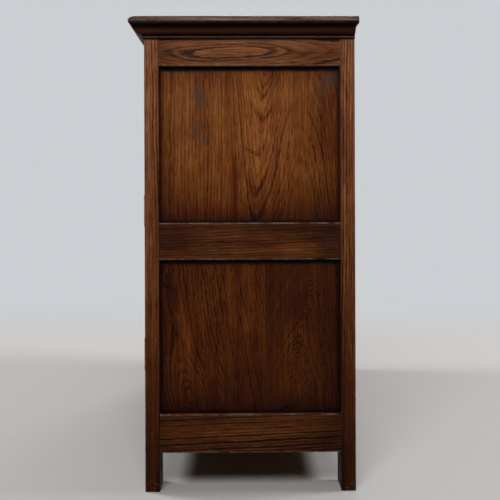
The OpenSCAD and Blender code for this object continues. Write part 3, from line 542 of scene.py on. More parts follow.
def cutAcross(shape, axis, at):
    normal = Vector([1.0 if i == axis else 0.0 for i in range(3)])
    geometry = shape.verts[:] + shape.edges[:] + shape.faces[:]
    bmesh.ops.bisect_plane(shape, geom=geometry, plane_co=normal * at, plane_no=normal, dist=closeness["cut"])


# boards of which nothing is said: flat-sawn ones lie near the pith, in shares of their width, rift ones far from it
log = {"flatSawn": 0.6, "flatPith": (-0.25, 0.25), "flatDepth": (0.022, 0.05), "riftPith": (0.08, 0.16),
       "riftDepth": (0.06, 0.12), "lean": (-0.06, 0.06), "slope": (-0.015, 0.015), "bow": (-0.2, 0.5),
       "middle": (-0.2, 0.2), "shift": (-3, 3), "stain": (0.9, 1.1)}


def figureOf(rng, wide):
    flat = rng.random() < log["flatSawn"]
    figure = {"pith": rng.uniform(*log["flatPith"]) * wide if flat
              else rng.choice([-1, 1]) * rng.uniform(*log["riftPith"]),
              "depth": rng.uniform(*log["flatDepth" if flat else "riftDepth"])}
    for key in ("lean", "slope", "bow", "middle"):
        figure[key] = rng.uniform(*log[key])
    return figure


def spotAt(spot, across, along):
    # a soft spot: place across, place along, half widths, amount in its middle and, if it leans, how much
    at, up, halfAcross, halfAlong, amount = spot[:5]
    lean = spot[5] if len(spot) > 5 else 0.0
    away = math.hypot((across - at - lean * (along - up)) / halfAcross, (along - up) / halfAlong)
    return amount / (1.0 + away ** 4)


def paintGrain(shape, low, high, thin, grain, strips, face=1, boxes=None, ends=True):
    # strips: [(edge, edge, figure)] across the board; what the finish reads is kept on the corners of the faces
    wide = 3 - thin - grain
    layers = shape.loops.layers
    place, rings, lowest, highest = [layers.float_vector.new(name)
                                     for name in ("grain", "figure", "boardLow", "boardHigh")]
    stain, bold, soot = [layers.float.new(name) for name in ("stain", "bold", "soot")]
    centre = (low + high) / 2
    for poly in shape.faces:
        middle = poly.calc_center_median()[wide]
        start, end, figure = next((s for s in strips if middle < s[1]), strips[-1])
        left, right = max(start, low[wide]), min(end, high[wide])
        boardLow, boardHigh = boxes or (low.copy(), high.copy())
        if not boxes:
            boardLow[wide], boardHigh[wide] = left, right
            if not ends:  # ends hidden in a joint aren't worn
                boardLow[grain], boardHigh[grain] = low[grain] - unworn, high[grain] + unworn
            if "inner" in figure:  # nor is the arris beside a panel
                (boardHigh if figure["inner"] > 0 else boardLow)[thin] += unworn * figure["inner"]
        for loop in poly.loops:
            p = loop.vert.co
            spot = (p[wide], p[grain])
            behind = high[thin] - p[thin] if face > 0 else p[thin] - low[thin]
            along = p[grain] - centre[grain] - figure.get("middle", 0)
            across = p[wide] - (left + right) / 2
            if "paint" in figure:
                loop[rings] = Vector((0, 0, figure["paint"](*spot) + behind * figure.get("through", 0.5)))
            else:
                depth = figure["depth"] + figure["lean"] * along + figure.get("bow", 0) * along * along
                loop[rings] = Vector((across - figure["pith"] - figure["slope"] * along, behind + depth, 0))
            loop[place] = Vector((across + figure["shift"], behind, along + figure["shift"]))
            loop[lowest], loop[highest] = boardLow, boardHigh
            loop[stain] = figure["stain"] * stainAndShadeAt(figure, *spot)
            loop[bold] = figure.get("bold", 1.0)
            for quiet in figure.get("quiet", []):  # places where the year rings are faint
                loop[bold] *= 1.0 - spotAt(quiet, *spot)
            loop[soot] = sum(spotAt(sooty, *spot) for sooty in figure.get("soot", []))


def stainAndShadeAt(figure, across, along):
    # darker and lighter places of the stain; some of them are painted shade beside the legs
    level = 1.0
    for spot in figure.get("patches", []):
        level *= 1.0 + spotAt(spot, across, along)
    for arch in figure.get("arches", []):
        level *= arch(across, along)
    return level


def stripsOf(node, spec, low, high):
    # a board's glued strips: [(edge, edge, figure)]; what isn't given is drawn from the node's own numbers
    rng = random.Random(node)
    edges = [low - 1] + [seam for seam in spec["seams"] if low < seam < high] + [high + 1]
    strips = []
    for i, (start, end) in enumerate(zip(edges, edges[1:])):
        figure = {**figureOf(rng, min(end, high) - max(start, low)),
                  "shift": rng.uniform(*log["shift"]), "stain": rng.uniform(*log["stain"])}
        if i < len(spec["figures"]):
            figure.update(spec["figures"][i])
        strips.append((start, end, figure))
    return strips


def makeBoard(node, spec):
    thin, grain = axes[spec["thin"]], axes[spec["grain"]]
    wide = 3 - thin - grain
    shape = mergedCopy(node)
    low, high = boxOf([v.co for v in shape.verts]) if spec["whole"] else bodyBox(shape, thin)
    flatten(shape)
    if spec["soften"]:
        softenEdges(shape, low, high, spec["soften"], grain, spec["ends"])
    bmesh.ops.triangulate(shape, faces=shape.faces)
    strips = stripsOf(node, spec, low[wide], high[wide])
    for start, _, _ in strips[1:]:
        cutAcross(shape, wide, start)
    # corners enough for the painted fields
    painted = any("paint" in figure or "patches" in figure for _, _, figure in strips)
    for axis in (wide, grain) if painted else (grain,):
        reach = high[axis] - low[axis]
        step = spec["grid"] if painted else reach / spec["cuts"]
        for i in range(1, int(reach / step + 0.5)):
            cutAcross(shape, axis, low[axis] + i * step)
    boxes = None
    # the box of a panel's opening also places the painted shade and grime along its frame
    if spec["opening"]:  # a panel's visible face, for the grime along its frame
        boxes = (low.copy(), high.copy())
        for i, (a, b) in spec["opening"].items():
            boxes[0][axes[i]], boxes[1][axes[i]] = a, b
    paintGrain(shape, low, high, thin, grain, strips, spec["face"], boxes, spec["ends"])
    finishPiece("wood_" + node, shape, spec["finish"], [node])


# figures that are painted on a board: each gives a function of the places across and along it

def bend(value, soft):
    return math.hypot(value, soft) - soft  # a rounded absolute value


def drift(across, along, seed, slow, quick):
    # bends the lines by a slow and a quick wave: size, waves per metre across, waves per metre along
    bends = ((seed, *slow), (seed + 7, *quick))
    return sum(noise.noise(Vector((across * wide, along * long, start))) * size
               for start, size, wide, long in bends)


def straightFigure(fall, swing, seed):
    # rift boards: lines along the grain, with some sway
    def paint(across, along):
        return fall * across + swing * along + drift(across, along, seed, (0.005, 9, 3), (0.0012, 40, 9))
    return paint


flame = {"tilt": 0.07, "middle": 0.68, "tips": ((0.3, 0.002), (0.7, 0.022)), "crest": 0.02, "steeper": 1.5}


def flameFigure(valley, crest, shares, seed):
    # a flat-sawn board: pointed arches that stand on the valley line and hang from the crest line
    rise, fall = shares
    reach = crest - valley

    def point(off):
        return sum(share * bend(off, soft) for share, soft in flame["tips"])
    summit = point(reach / 2) + bend(reach / 2, flame["crest"])

    def paint(across, along):
        off = across - valley - (along - flame["middle"]) * flame["tilt"]
        zigzag = summit - bend(off - reach, flame["crest"])
        if off < reach / 2:
            zigzag = point(off) * (flame["steeper"] if off < 0 else 1.0)
        return rise * along - fall * zigzag + drift(across, along, seed, (0.006, 14, 5), (0.0014, 45, 14))
    return paint


def ovalFigure(at, up, stretch, fall, lean, seed, wild, limit=1.0):
    # nested ovals round one place, as where the saw grazes a hump of the log
    # stretch: before and beyond the place; wild: the size of the slow wave
    # limit: how far the ovals go before their sides run on straight
    def paint(across, along):
        off = across - at - lean * (along - up)
        reach = limit * math.tanh((along - up) / (stretch[0] if along < up else stretch[1]) / limit)
        return fall * math.hypot(off, reach) + drift(across, along, seed, (wild, 16, 6), (0.0012, 50, 14))
    return paint


def swirlFigure(at, up, shares, lean, seed, tip=0.004, spread=8):
    # nested arches that climb along a leaning line, flat on one side of it and steep on the other
    rise, fall = shares

    def paint(across, along):
        off = across - at - lean * (along - up)
        side = fall * bend(off, tip) if off > 0 else rise * bend(off, tip) + spread * off * off
        return rise * along + side + drift(across, along, seed, (0.008, 11, 8), (0.003, 34, 22))
    return paint


archLine = {"half": 0.0026, "tip": 0.003, "wobble": 0.003, "wobbles": 60, "start": 90}


def boldArch(at, up, steep, spread, strength, side=0.0):
    # one year's dark arch, pointing down, that stands out in a flame figure; side: where its strong part is
    line, tip = archLine, archLine["tip"]

    def mark(across, along):
        spot = Vector((across * line["wobbles"], along * line["wobbles"], at * line["start"]))
        off = across - at + noise.noise(spot) * line["wobble"]
        slope = steep * off / math.hypot(off, tip)
        away = (along - up - steep * bend(off, tip)) / math.hypot(1, slope) / line["half"]
        return 1.0 - strength / (1.0 + away ** 4) / (1.0 + ((off - side) / spread) ** 6)
    return mark


# every board: which way it is thin and which way its grain runs, and what it shares with most others
# whole: its box takes in the tenons; ends: its ends show, and are rounded and worn; face: the side that shows

boardCommon = {"soften": 0.0009, "face": 1, "ends": False, "whole": False, "seams": [], "figures": [],
               "opening": None, "grid": 0.007, "cuts": 12}
rounding = {"leg": 0.0012, "rail": 0.0014, "front": 0.0012, "drawerFront": 0.0015, "drawer": 0.001}
legSeeds = {"right_front": 1.9, "right_back": 4.2, "left_front": 7.7, "left_back": 12.4}
panelOpenings = {"upper": {"y": (-0.163, 0.185), "z": (0.515, 0.816)},
                 "lower": {"y": (-0.163, 0.185), "z": (0.148, 0.444)}}
boards = {}


def addBoard(node, directions, finish, **more):
    boards[node] = {**boardCommon, "thin": directions[0], "grain": directions[1], "finish": finish, **more}


for side, face in (("right", 1), ("left", -1)):
    for leg, outer in (("front", -1), ("back", 1)):
        addBoard(f"{side}_{leg}_leg", "yz", "legOak", soften=rounding["leg"], ends=True, face=outer, figures=[
            {"paint": straightFigure(0.36, 0.012, legSeeds[f"{side}_{leg}"]), "through": 1.05, "stain": 1.0,
             "inner": -outer}])
    for rail in ("top", "mid", "bottom"):
        addBoard(f"{side}_end_{rail}_rail", "xy", "railOak", soften=rounding["rail"], face=face)
    for level, opening in panelOpenings.items():
        addBoard(f"{side}_{level}_panel", "xz", "panelOak", soften=0, face=face, opening=opening)
    addBoard(f"{side}_drawer_front", "yx", "frontOak", soften=rounding["drawerFront"], ends=True, face=-1,
             whole=True)
    addBoard(f"{side}_drawer_back", "yx", "drawerWood", soften=rounding["drawer"], ends=True, face=-1)
    addBoard(f"{side}_drawer_bottom", "zx", "drawerWood", soften=rounding["drawer"], ends=True, face=-1)
    addBoard(f"{side}_drawer_sides", "xy", "drawerWood", soften=rounding["drawer"], whole=True)
    for stile in ("hinge", "lock"):
        addBoard(f"{side}_door_{stile}_stile", "yz", "frontOak", soften=rounding["front"], ends=True, face=-1)
    addBoard(f"{side}_door_rails", "yx", "frontOak", soften=rounding["front"], face=-1)
    addBoard(f"{side}_door_panel", "yz", "panelOak", soften=0, face=-1)
for rail in ("front_top_rail", "drawer_rail", "front_bottom_rail"):
    addBoard(rail, "yx", "frontOak", soften=rounding["front"], face=-1)
addBoard("centre_stile", "yz", "frontOak", soften=rounding["front"], face=-1)
for rail in ("top", "mid", "bottom"):
    addBoard(f"back_{rail}_rail", "yx", "insideWood")
addBoard("back_panel", "yz", "backBoard", soften=0, seams=[-0.35, -0.17, 0.02, 0.19, 0.36])
addBoard("cupboard_floor", "zx", "insideWood", soften=0, whole=True, seams=[-0.06, 0.07])
addBoard("shelf", "zx", "insideWood", ends=True, seams=[-0.05, 0.08])
for part in ("shelf_battens", "drawer_bearers", "drawer_guides"):
    addBoard(part, "zy", "insideWood", soften=0, whole=True)

# the seen end: seams, figures and the darker and lighter places of the stain, some of them painted shade beside the
# legs, in metres across and along
seenEnd = {
    "end_top_rail": {"figures": [
        {"paint": ovalFigure(0.842, -0.030, (5.0, 9.0), 0.75, 0.004, 3.2, 0.007), "stain": 0.97, "bold": 0.72,
         "patches": [
             (0.84, -0.165, 0.05, 0.025, -0.4), (0.842, 0.0, 0.02, 0.10, 0.15), (0.838, 0.113, 0.005, 0.012, -0.55),
             (0.848, 0.075, 0.003, 0.03, -0.45), (0.832, 0.15, 0.02, 0.03, -0.25)]}]},
    "end_mid_rail": {"figures": [
        {"paint": straightFigure(0.74, -0.040, 1.4), "stain": 0.98, "bold": 0.95,
         "quiet": [(0.462, 0.092, 0.016, 0.040, 0.6)], "soot": [(0.478, 0.165, 0.012, 0.012, 0.15)],
         "patches": [
             (0.4705, 0.040, 0.005, 0.034, -0.45, 0.02), (0.463, 0.095, 0.012, 0.034, 0.6),
             (0.459, 0.012, 0.004, 0.034, 0.45), (0.451, -0.085, 0.005, 0.060, 0.35),
             (0.489, 0.030, 0.008, 0.060, 0.25), (0.484, -0.145, 0.030, 0.045, -0.4),
             (0.475, 0.172, 0.050, 0.024, -0.4), (0.503, 0.110, 0.010, 0.070, -0.4)]}]},
    "end_bottom_rail": {"figures": [
        {"paint": straightFigure(0.74, -0.02, 5.1), "stain": 1.0, "bold": 1.4, "patches": [
            (0.11, 0.0, 0.012, 0.12, 0.3), (0.11, -0.165, 0.05, 0.02, -0.3), (0.12, 0.17, 0.05, 0.03, -0.3)]}]},
    "upper_panel": {"seams": [-0.0176], "grid": 0.0042, "figures": [
        {"paint": straightFigure(0.40, 0.012, 2.3), "stain": 0.89,
         "patches": [
             (-0.089, 0.745, 0.008, 0.050, -0.3), (-0.155, 0.60, 0.02, 0.12, -0.3),
             (-0.019, 0.59, 0.004, 0.06, -0.6)],
         "soot": [
             (-0.0912, 0.7656, 0.0045, 0.010, 0.85), (-0.0873, 0.7462, 0.0045, 0.010, 0.70),
             (-0.0738, 0.7462, 0.0030, 0.012, 0.50), (-0.0873, 0.7036, 0.0040, 0.012, 0.60),
             (-0.0931, 0.6840, 0.0055, 0.008, 0.65), (-0.0757, 0.6746, 0.0040, 0.007, 0.60),
             (-0.1163, 0.7130, 0.0060, 0.040, 0.20)]},
        {"paint": flameFigure(0.031, 0.106, (0.085, 0.40), 6.5), "stain": 1.0,
         "patches": [
             (0.035, 0.70, 0.035, 0.10, 0.15), (0.180, 0.68, 0.035, 0.2, -0.4), (-0.017, 0.58, 0.004, 0.07, -0.6),
             # the last patch is a painted shade strip beside the back leg
             (0.12, 0.56, 0.06, 0.03, -0.3), (0.13, 0.70, 0.04, 0.12, -0.2), (0.187, 0.66, 0.010, 0.3, -0.4)],
         "soot": [(0.166, 0.791, 0.012, 0.014, 0.60), (0.147, 0.762, 0.007, 0.014, 0.35)],
         "quiet": [(0.106, 0.66, 0.024, 1.0, 0.5), (0.104, 0.75, 0.020, 0.05, 0.8)],
         "arches": [
             boldArch(0.0366, 0.7580, 2.2, 0.013, 0.60), boldArch(0.0366, 0.7114, 1.6, 0.019, 0.65),
             boldArch(0.0288, 0.6456, 0.55, 0.013, 0.55, side=-0.013), boldArch(0.0230, 0.5662, 2.5, 0.018, 0.65),
             boldArch(0.0080, 0.5460, 1.2, 0.008, 0.4, side=-0.008)]}]},
    "lower_panel": {"seams": [-0.0395, 0.0400], "figures": [
        {"paint": ovalFigure(-0.1067, 0.181, (2.0, 2.0), 0.44, -0.2, 4.4, 0.002, 0.035), "stain": 1.0, "bold": 1.3,
         "quiet": [(-0.1173, 0.307, 0.010, 0.060, 0.75, -0.2)],
         "patches": [
             (-0.1173, 0.307, 0.010, 0.058, 0.9, -0.2), (-0.07, 0.37, 0.03, 0.06, 0.3),
             # the last patch is a painted shade strip beside the front leg
             (-0.155, 0.2, 0.02, 0.1, -0.3), (-0.163, 0.30, 0.007, 0.3, -0.55)]},
        {"paint": straightFigure(0.45, 0.06, 8.8), "stain": 1.0,
         "patches": [(0.0, 0.36, 0.05, 0.06, 0.3), (0.0, 0.21, 0.06, 0.05, -0.3)]},
        {"paint": swirlFigure(0.104, 0.278, (0.28, 0.7), 0.2, 9.7), "stain": 0.88, "bold": 1.8,
         "patches": [
             # the last patch is a painted shade strip beside the back leg
             (0.09, 0.26, 0.03, 0.05, 0.25), (0.17, 0.28, 0.02, 0.12, -0.25), (0.185, 0.30, 0.008, 0.3, -0.5)]}]},
}
turnHeight = 0.475  # where the other end's figures are turned upside down


def turnedRound(entry):
    # the other end has boards of the same kinds, turned round, so that it isn't a copy
    figures = []
    for figure in reversed(entry["figures"]):
        turned = {key: figure[key] for key in ("stain", "bold") if key in figure}
        turned["paint"] = lambda across, along, paint=figure["paint"]: paint(-across, 2 * turnHeight - along)
        figures.append(turned)
    return {"seams": [-seam for seam in reversed(entry["seams"])], "figures": figures}


for part, entry in seenEnd.items():
    boards["right_" + part].update(entry)
    if "panel" in part:
        boards["left_" + part].update(turnedRound(entry))
for node, spec in boards.items():
    makeBoard(node, spec)
print("boards: %d pieces" % len(boards))


# the top board, with a rounded and rubbed nosing

topShape = {"roundWidth": 0.024, "under": 0.007, "underSteps": 6, "steps": 14, "backRound": 0.003, "step": 0.02,
            "hollow": 0.0004, "hollows": 14, "seams": (-0.075, 0.06), "strip": 0.14, "shift": 1.7,
            "smooth": 40}


def topInset(z, thick):
    # how far the nosing stands back from its own foremost line, by height above the underside
    under, wide, upper = topShape["under"], topShape["roundWidth"], thick - topShape["under"]
    if z <= under:
        return under - math.sqrt(max(0.0, under ** 2 - (under - z) ** 2))
    return wide * (1 - math.sqrt(max(0.0, 1 - ((z - under) / upper) ** 2)))


def backInset(z, thick):
    r = topShape["backRound"]
    out = r - z if z < r else z - (thick - r) if z > thick - r else 0.0
    return r - math.sqrt(max(0.0, r ** 2 - out ** 2))


def outline(shape, low, high, z, front, back):
    # one ring of the top: set in at the front and the ends by front, at the back by back
    corners = [(low.x + front, low.y + front), (high.x - front, low.y + front),
               (high.x - front, high.y - back), (low.x + front, high.y - back)]
    ring = []
    for i, (x0, y0) in enumerate(corners):
        x1, y1 = corners[(i + 1) % 4]
        count = int((high - low)[i % 2] / topShape["step"])
        for k in range(count):
            t = k / count
            ring.append(shape.verts.new((x0 + (x1 - x0) * t, y0 + (y1 - y0) * t, low.z + z)))
    return ring


def makeTop(node):
    low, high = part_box(node)
    thick = high.z - low.z
    under, underSteps, steps = topShape["under"], topShape["underSteps"], topShape["steps"]
    heights = [under - under * math.cos(math.pi / 2 * i / underSteps) for i in range(underSteps + 1)]
    heights += [under + (thick - under) * math.sin(math.pi / 2 * i / steps) for i in range(1, steps + 1)]
    shape = bmesh.new()
    rings = [outline(shape, low, high, z, topInset(z, thick), backInset(z, thick)) for z in heights]
    for lower, higher in zip(rings, rings[1:]):
        for i in range(len(lower)):
            k = (i + 1) % len(lower)
            shape.faces.new((lower[i], lower[k], higher[k], higher[i]))
    shape.faces.new(list(reversed(rings[0])))
    shape.faces.new(rings[-1])
    middle = (low + high) / 2
    for ring in rings[1:-1]:
        for v in ring:  # years of rubbing: slow hollows along the nosing, always inwards
            hollow = (noise.noise(v.co * topShape["hollows"]) + 1) * topShape["hollow"]
            v.co.x += math.copysign(hollow, middle.x - v.co.x)
            v.co.y += math.copysign(hollow, middle.y - v.co.y)
    bmesh.ops.recalc_face_normals(shape, faces=shape.faces)
    bmesh.ops.triangulate(shape, faces=shape.faces)
    rng = random.Random("top")
    edges = (-1, *topShape["seams"], 1)
    for seam in topShape["seams"]:
        cutAcross(shape, axes["y"], seam)
    strips = [(a, b, {**figureOf(rng, topShape["strip"]), "shift": i * topShape["shift"],
                      "stain": rng.uniform(*log["stain"])}) for i, (a, b) in enumerate(zip(edges, edges[1:]))]
    paintGrain(shape, low, high, axes["z"], axes["x"], strips)
    finishPiece("wood_top_board", shape, "topOak", [node], smooth=topShape["smooth"])


makeTop("top_board")


# the cornice: one section swept along three runs by a node tree, mitred at the front corners

cornice = {"reach": 0.0205, "height": 0.024, "bulge": 0.016, "neck": 0.004, "fillet": 0.001, "steps": 18,
           "bead": 0.0024, "beadInset": 0.001, "beadTop": 80, "beadSteps": 12, "smooth": 35,
           "figure": {"pith": 0.05, "depth": 0.06, "lean": 0.01, "slope": 0.004, "stain": 1.0}}


def arc(cx, cz, rx, rz, start, end, steps):
    turns = [math.radians(start + (end - start) * i / steps) for i in range(steps + 1)]
    return [(cx + rx * math.cos(a), cz + rz * math.sin(a)) for a in turns]


def corniceSection():
    c = cornice
    points = [(0, 0), (c["reach"], 0)]
    points += arc(c["neck"], -c["fillet"], c["reach"] - c["neck"], c["bulge"] - c["fillet"], 0, -90, c["steps"])
    beadZ = -c["height"] + c["bead"] + c["fillet"]
    points.append((c["neck"], beadZ + c["bead"]))
    points += arc(c["neck"] - c["beadInset"], beadZ, c["bead"], c["bead"], c["beadTop"], -90, c["beadSteps"])
    points.append((0, -c["height"]))
    return points


def newGroup(name, inputs):
    # a node group with named inputs; returns it, its maker, its inputs, and where each is set on a modifier
    group = bpy.data.node_groups.new(name, "GeometryNodeTree")
    group.interface.new_socket("Geometry", in_out="OUTPUT", socket_type="NodeSocketGeometry")
    names = {}
    for key, (kind, value) in {"Geometry": ("Geometry", None), **inputs}.items():
        socket = group.interface.new_socket(key, in_out="INPUT", socket_type="NodeSocket" + kind)
        if value is not None:
            socket.default_value = value
        names[key] = socket.identifier
    maker = NodeTree(group)
    entry = group.nodes.new("NodeGroupInput")
    given = {key: Value(maker, entry.outputs[key]) for key in names}
    return group, maker, given, names


def closeGroup(maker, geometry, material):
    result = maker.add("GeometryNodeRealizeInstances", None, {"Geometry": geometry})
    result = maker.add("GeometryNodeSetMaterial", None, {"Geometry": result, "Material": material})
    maker.add("NodeGroupOutput", None, {0: result})


def runTree(name, start, group, names, settings):
    # applies a tree to a start mesh and gives back a plain mesh object
    carrier = newObject(name, start)
    modifier = carrier.modifiers.new("tree", "NODES")
    modifier.node_group = group
    for key, value in settings.items():
        modifier[names[key]] = value
    carrier.update_tag()
    evaluated = carrier.evaluated_get(bpy.context.evaluated_depsgraph_get())
    mesh = bpy.data.meshes.new_from_object(evaluated)
    carrier.modifiers.clear()
    carrier.data = mesh
    return carrier


def mouldingGroup():
    group, maker, given, names = newGroup("mouldingRun", {
        "Run": ("Vector", (1.0, 0.0, 0.0)), "Outwards": ("Vector", (0.0, -1.0, 0.0)), "Wall": ("Float", 0.0),
        "Start mitre": ("Float", 1.0), "End mitre": ("Float", 1.0), "Finish": ("Material", None)})
    swept = maker.add("GeometryNodeExtrudeMesh", {"mode": "FACES"}, {
        "Mesh": given["Geometry"], "Offset": given["Run"], "Offset Scale": 1.0, "Individual": False})
    cap = maker.add("GeometryNodeFlipFaces", None, {"Mesh": given["Geometry"]})
    joined = maker.nodes.new("GeometryNodeJoinGeometry")
    for part in (swept, cap):
        maker.links.new(part.socket, joined.inputs[0])
    solid = maker.add("GeometryNodeMergeByDistance", None, {
        "Geometry": Value(maker, joined.outputs[0]), "Distance": closeness["merge"]})
    place = maker.add("GeometryNodeInputPosition")
    reach = maker.vector("DOT_PRODUCT", place, given["Outwards"]) - given["Wall"]
    direction = maker.vector("NORMALIZE", given["Run"])
    atEnd = maker.maths("GREATER_THAN", maker.vector("DOT_PRODUCT", place, direction), 0.0)  # runs cross the middle
    move = reach * (atEnd * given["End mitre"] - (1 - atEnd) * given["Start mitre"])
    solid = maker.add("GeometryNodeSetPosition", None, {
        "Geometry": solid, "Offset": maker.vector("SCALE", direction, scale=move)})
    closeGroup(maker, solid, given["Finish"])
    return group, names


def makeCornice():
    group, names = mouldingGroup()
    low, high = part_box("cornice_front")
    front, end = high.y, high.x - cornice["reach"]  # the planes that the cornice is planted on
    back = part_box("cornice_right")[1].y
    along = (0, back - front, 0)
    runs = [  # node, a point of its start, its run, the way it faces, how far out its plane is, mitre at its end
        ("cornice_front", lambda r, z: (-end, front - r, z), (2 * end, 0, 0), (0, -1, 0), -front, 1.0),
        ("cornice_right", lambda r, z: (end + r, front, z), along, (1, 0, 0), end, 0.0),
        ("cornice_left", lambda r, z: (-end - r, front, z), along, (-1, 0, 0), end, 0.0),
    ]
    for node, at, run, outwards, wall, endMitre in runs:
        shape = bmesh.new()
        shape.faces.new([shape.verts.new(at(r, high.z + z)) for r, z in corniceSection()])
        piece = runTree("wood_" + node, newMesh(node, shape), group, names, {
            "Run": run, "Outwards": outwards, "Wall": wall, "Start mitre": 1.0, "End mitre": endMitre,
            "Finish": finishes["corniceOak"]})
        shape = bmesh.new()
        shape.from_mesh(piece.data)
        bmesh.ops.recalc_face_normals(shape, faces=shape.faces)
        bmesh.ops.triangulate(shape, faces=shape.faces)
        grain = 0 if node == "cornice_front" else 1
        paintGrain(shape, *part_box(node), 1 - grain, grain, [(-9, 9, {**cornice["figure"], "shift": len(node)})])
        shape.to_mesh(piece.data)
        shape.free()
        dressPiece(piece, "corniceOak", [node], smooth=cornice["smooth"])


makeCornice()
print("top board and cornice made")


# handles, hinges and catches: the solids' own shapes, merged and smoothed

metalNodes = [node for node in frame["nodes"] if slotOf[node] == "aged_brass"]
for node in metalNodes:
    finishPiece("brass_" + node, mergedCopy(node), "agedBrass", [node], smooth=28)

catch = {"long": 0.040, "round": 0.0012, "poleLong": 0.030, "poleHigh": 0.0016, "poleDeep": 0.002,
         "poleGap": 0.0052, "poleProud": 0.0003, "poleRound": 0.0001, "smooth": 40}
strike = {"long": 0.030, "high": 0.0094, "thick": 0.0007, "round": 0.0018, "fromTop": 0.0006}
catchLow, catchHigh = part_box("catch_magnets")
catchX = catchHigh.x - catch["long"] / 2  # the middle of a catch
stileLow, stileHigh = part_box("right_door_lock_stile")
doorFace, doorBack, doorTop = stileLow.y, stileHigh.y, stileHigh.z
sides = ((1, "right"), (-1, "left"))


def block(shape, low, high, width, axis=None):
    # a box with its edges rounded: all of them, or the four that run along one axis
    made = bmesh.ops.create_cube(shape, size=1.0)["verts"]
    for v in made:
        v.co = Vector([low[i] if v.co[i] < 0 else high[i] for i in range(3)])
    edges = [edge for edge in shape.edges if edge.verts[0] in made]
    if axis:
        i = axes[axis]
        edges = [edge for edge in edges if abs(edge.verts[0].co[i] - edge.verts[1].co[i]) > closeness["merge"]]
    bevelEdges(shape, edges, width, 3)


def makeCatches():
    shape = mergedCopy("catch_magnets")
    flatten(shape)
    bevelEdges(shape, shape.edges[:], catch["round"], 3)
    middle = (catchLow.z + catchHigh.z) / 2
    halfLong, halfHigh = catch["poleLong"] / 2, catch["poleHigh"] / 2
    for side in (-1, 1):
        for row in (-1, 1):
            x, z = side * catchX, middle + row * catch["poleGap"] / 2
            block(shape, (x - halfLong, catchLow.y - catch["poleProud"], z - halfHigh),
                  (x + halfLong, catchLow.y + catch["poleDeep"], z + halfHigh), catch["poleRound"])
    finishPiece("steel_catches", shape, "catchSteel", ["catch_magnets"], smooth=catch["smooth"])
    for side, name in sides:
        shape = bmesh.new()
        top, x, reach = doorTop - strike["fromTop"], side * catchX, strike["long"] / 2
        block(shape, (x - reach, doorBack, top - strike["high"]), (x + reach, doorBack + strike["thick"], top),
              strike["round"], "y")
        bmesh.ops.recalc_face_normals(shape, faces=shape.faces)
        finishPiece("steel_strike_" + name, shape, "catchSteel", [], body=name + "_door", slot="catch_steel",
                    smooth=catch["smooth"])


makeCatches()
print("metal: %d pieces" % (len(metalNodes) + 1 + len(sides)))


# screws and pins: heads of one shape set out by a node tree along straight runs

heads = {
    "screw": {"radius": 0.0027, "height": 0.00012, "slot": 0.17},
    "smallScrew": {"radius": 0.0019, "height": 0.00012, "slot": 0.18},
    "pin": {"radius": 0.0015, "height": 0.0008, "slot": 0.0},
    "backPin": {"radius": 0.0024, "height": 0.0007, "slot": 0.0},
}
# the dome that every head is made from, in shares of its radius and height, and how dark its slot is: dirt and
# painted shade
dome = {"around": 18, "up": 10, "flatter": 0.4, "above": 0.05, "slotFloor": 0.3, "base": 0.001,
        "floorDirtAndShade": 1.0, "wallDirtAndShade": 0.7, "smooth": 30}
# how far the outermost heads lie from the ends of what they hold
fixings = {"leaf": 0.063, "leafEnds": 0.0100, "sunk": 0.0002, "catchEnds": 0.0060, "strikeEnds": 0.0045,
           "plate": 0.0016, "doorPlateEnds": 0.0026, "drawerPlateSides": 0.0039, "drawerPlateEnds": 0.0042,
           "backInset": 0.008, "backSpacing": 0.085}
endsOnly = 1.0  # a spacing longer than any run: a head at each of its ends
fixingSlots = {"agedBrass": "aged_brass", "catchSteel": "catch_steel"}


def unitHead(slot):
    # a closed dome of radius 1 and height 1; the faces of its slot and of its lower sides are marked for dirt and
    # painted shade in the finish
    shape = bmesh.new()
    bmesh.ops.create_uvsphere(shape, u_segments=dome["around"], v_segments=dome["up"], radius=1.0)
    bmesh.ops.bisect_plane(shape, geom=shape.verts[:] + shape.edges[:] + shape.faces[:], plane_co=(0, 0, 0),
                           plane_no=(0, 0, -1), clear_outer=True, dist=closeness["merge"])
    bmesh.ops.holes_fill(shape, edges=[edge for edge in shape.edges if edge.is_boundary])
    marks = shape.loops.layers.float.new("slot")

    def mark(face, dirt):
        for loop in face.loops:
            loop[marks] = dirt

    if slot:
        for v in shape.verts:  # a screw is flatter than a pin
            v.co.z = max(0.0, v.co.z) ** dome["flatter"]
        for side in (-slot, slot):
            cutAcross(shape, axes["x"], side)
        middles = [(face, face.calc_center_median()) for face in shape.faces]
        strip = [face for face, middle in middles if abs(middle.x) < slot and middle.z > dome["above"]]
        for item in bmesh.ops.extrude_face_region(shape, geom=strip)["geom"]:
            if isinstance(item, bmesh.types.BMVert):
                item.co.z = min(item.co.z, dome["slotFloor"])
            elif isinstance(item, bmesh.types.BMFace):
                mark(item, dome["floorDirtAndShade"])
        for face in shape.faces:
            if dome["base"] < face.calc_center_median().z < dome["slotFloor"]:
                mark(face, dome["wallDirtAndShade"])
    bmesh.ops.recalc_face_normals(shape, faces=shape.faces)
    return newObject("head", newMesh("head", shape))


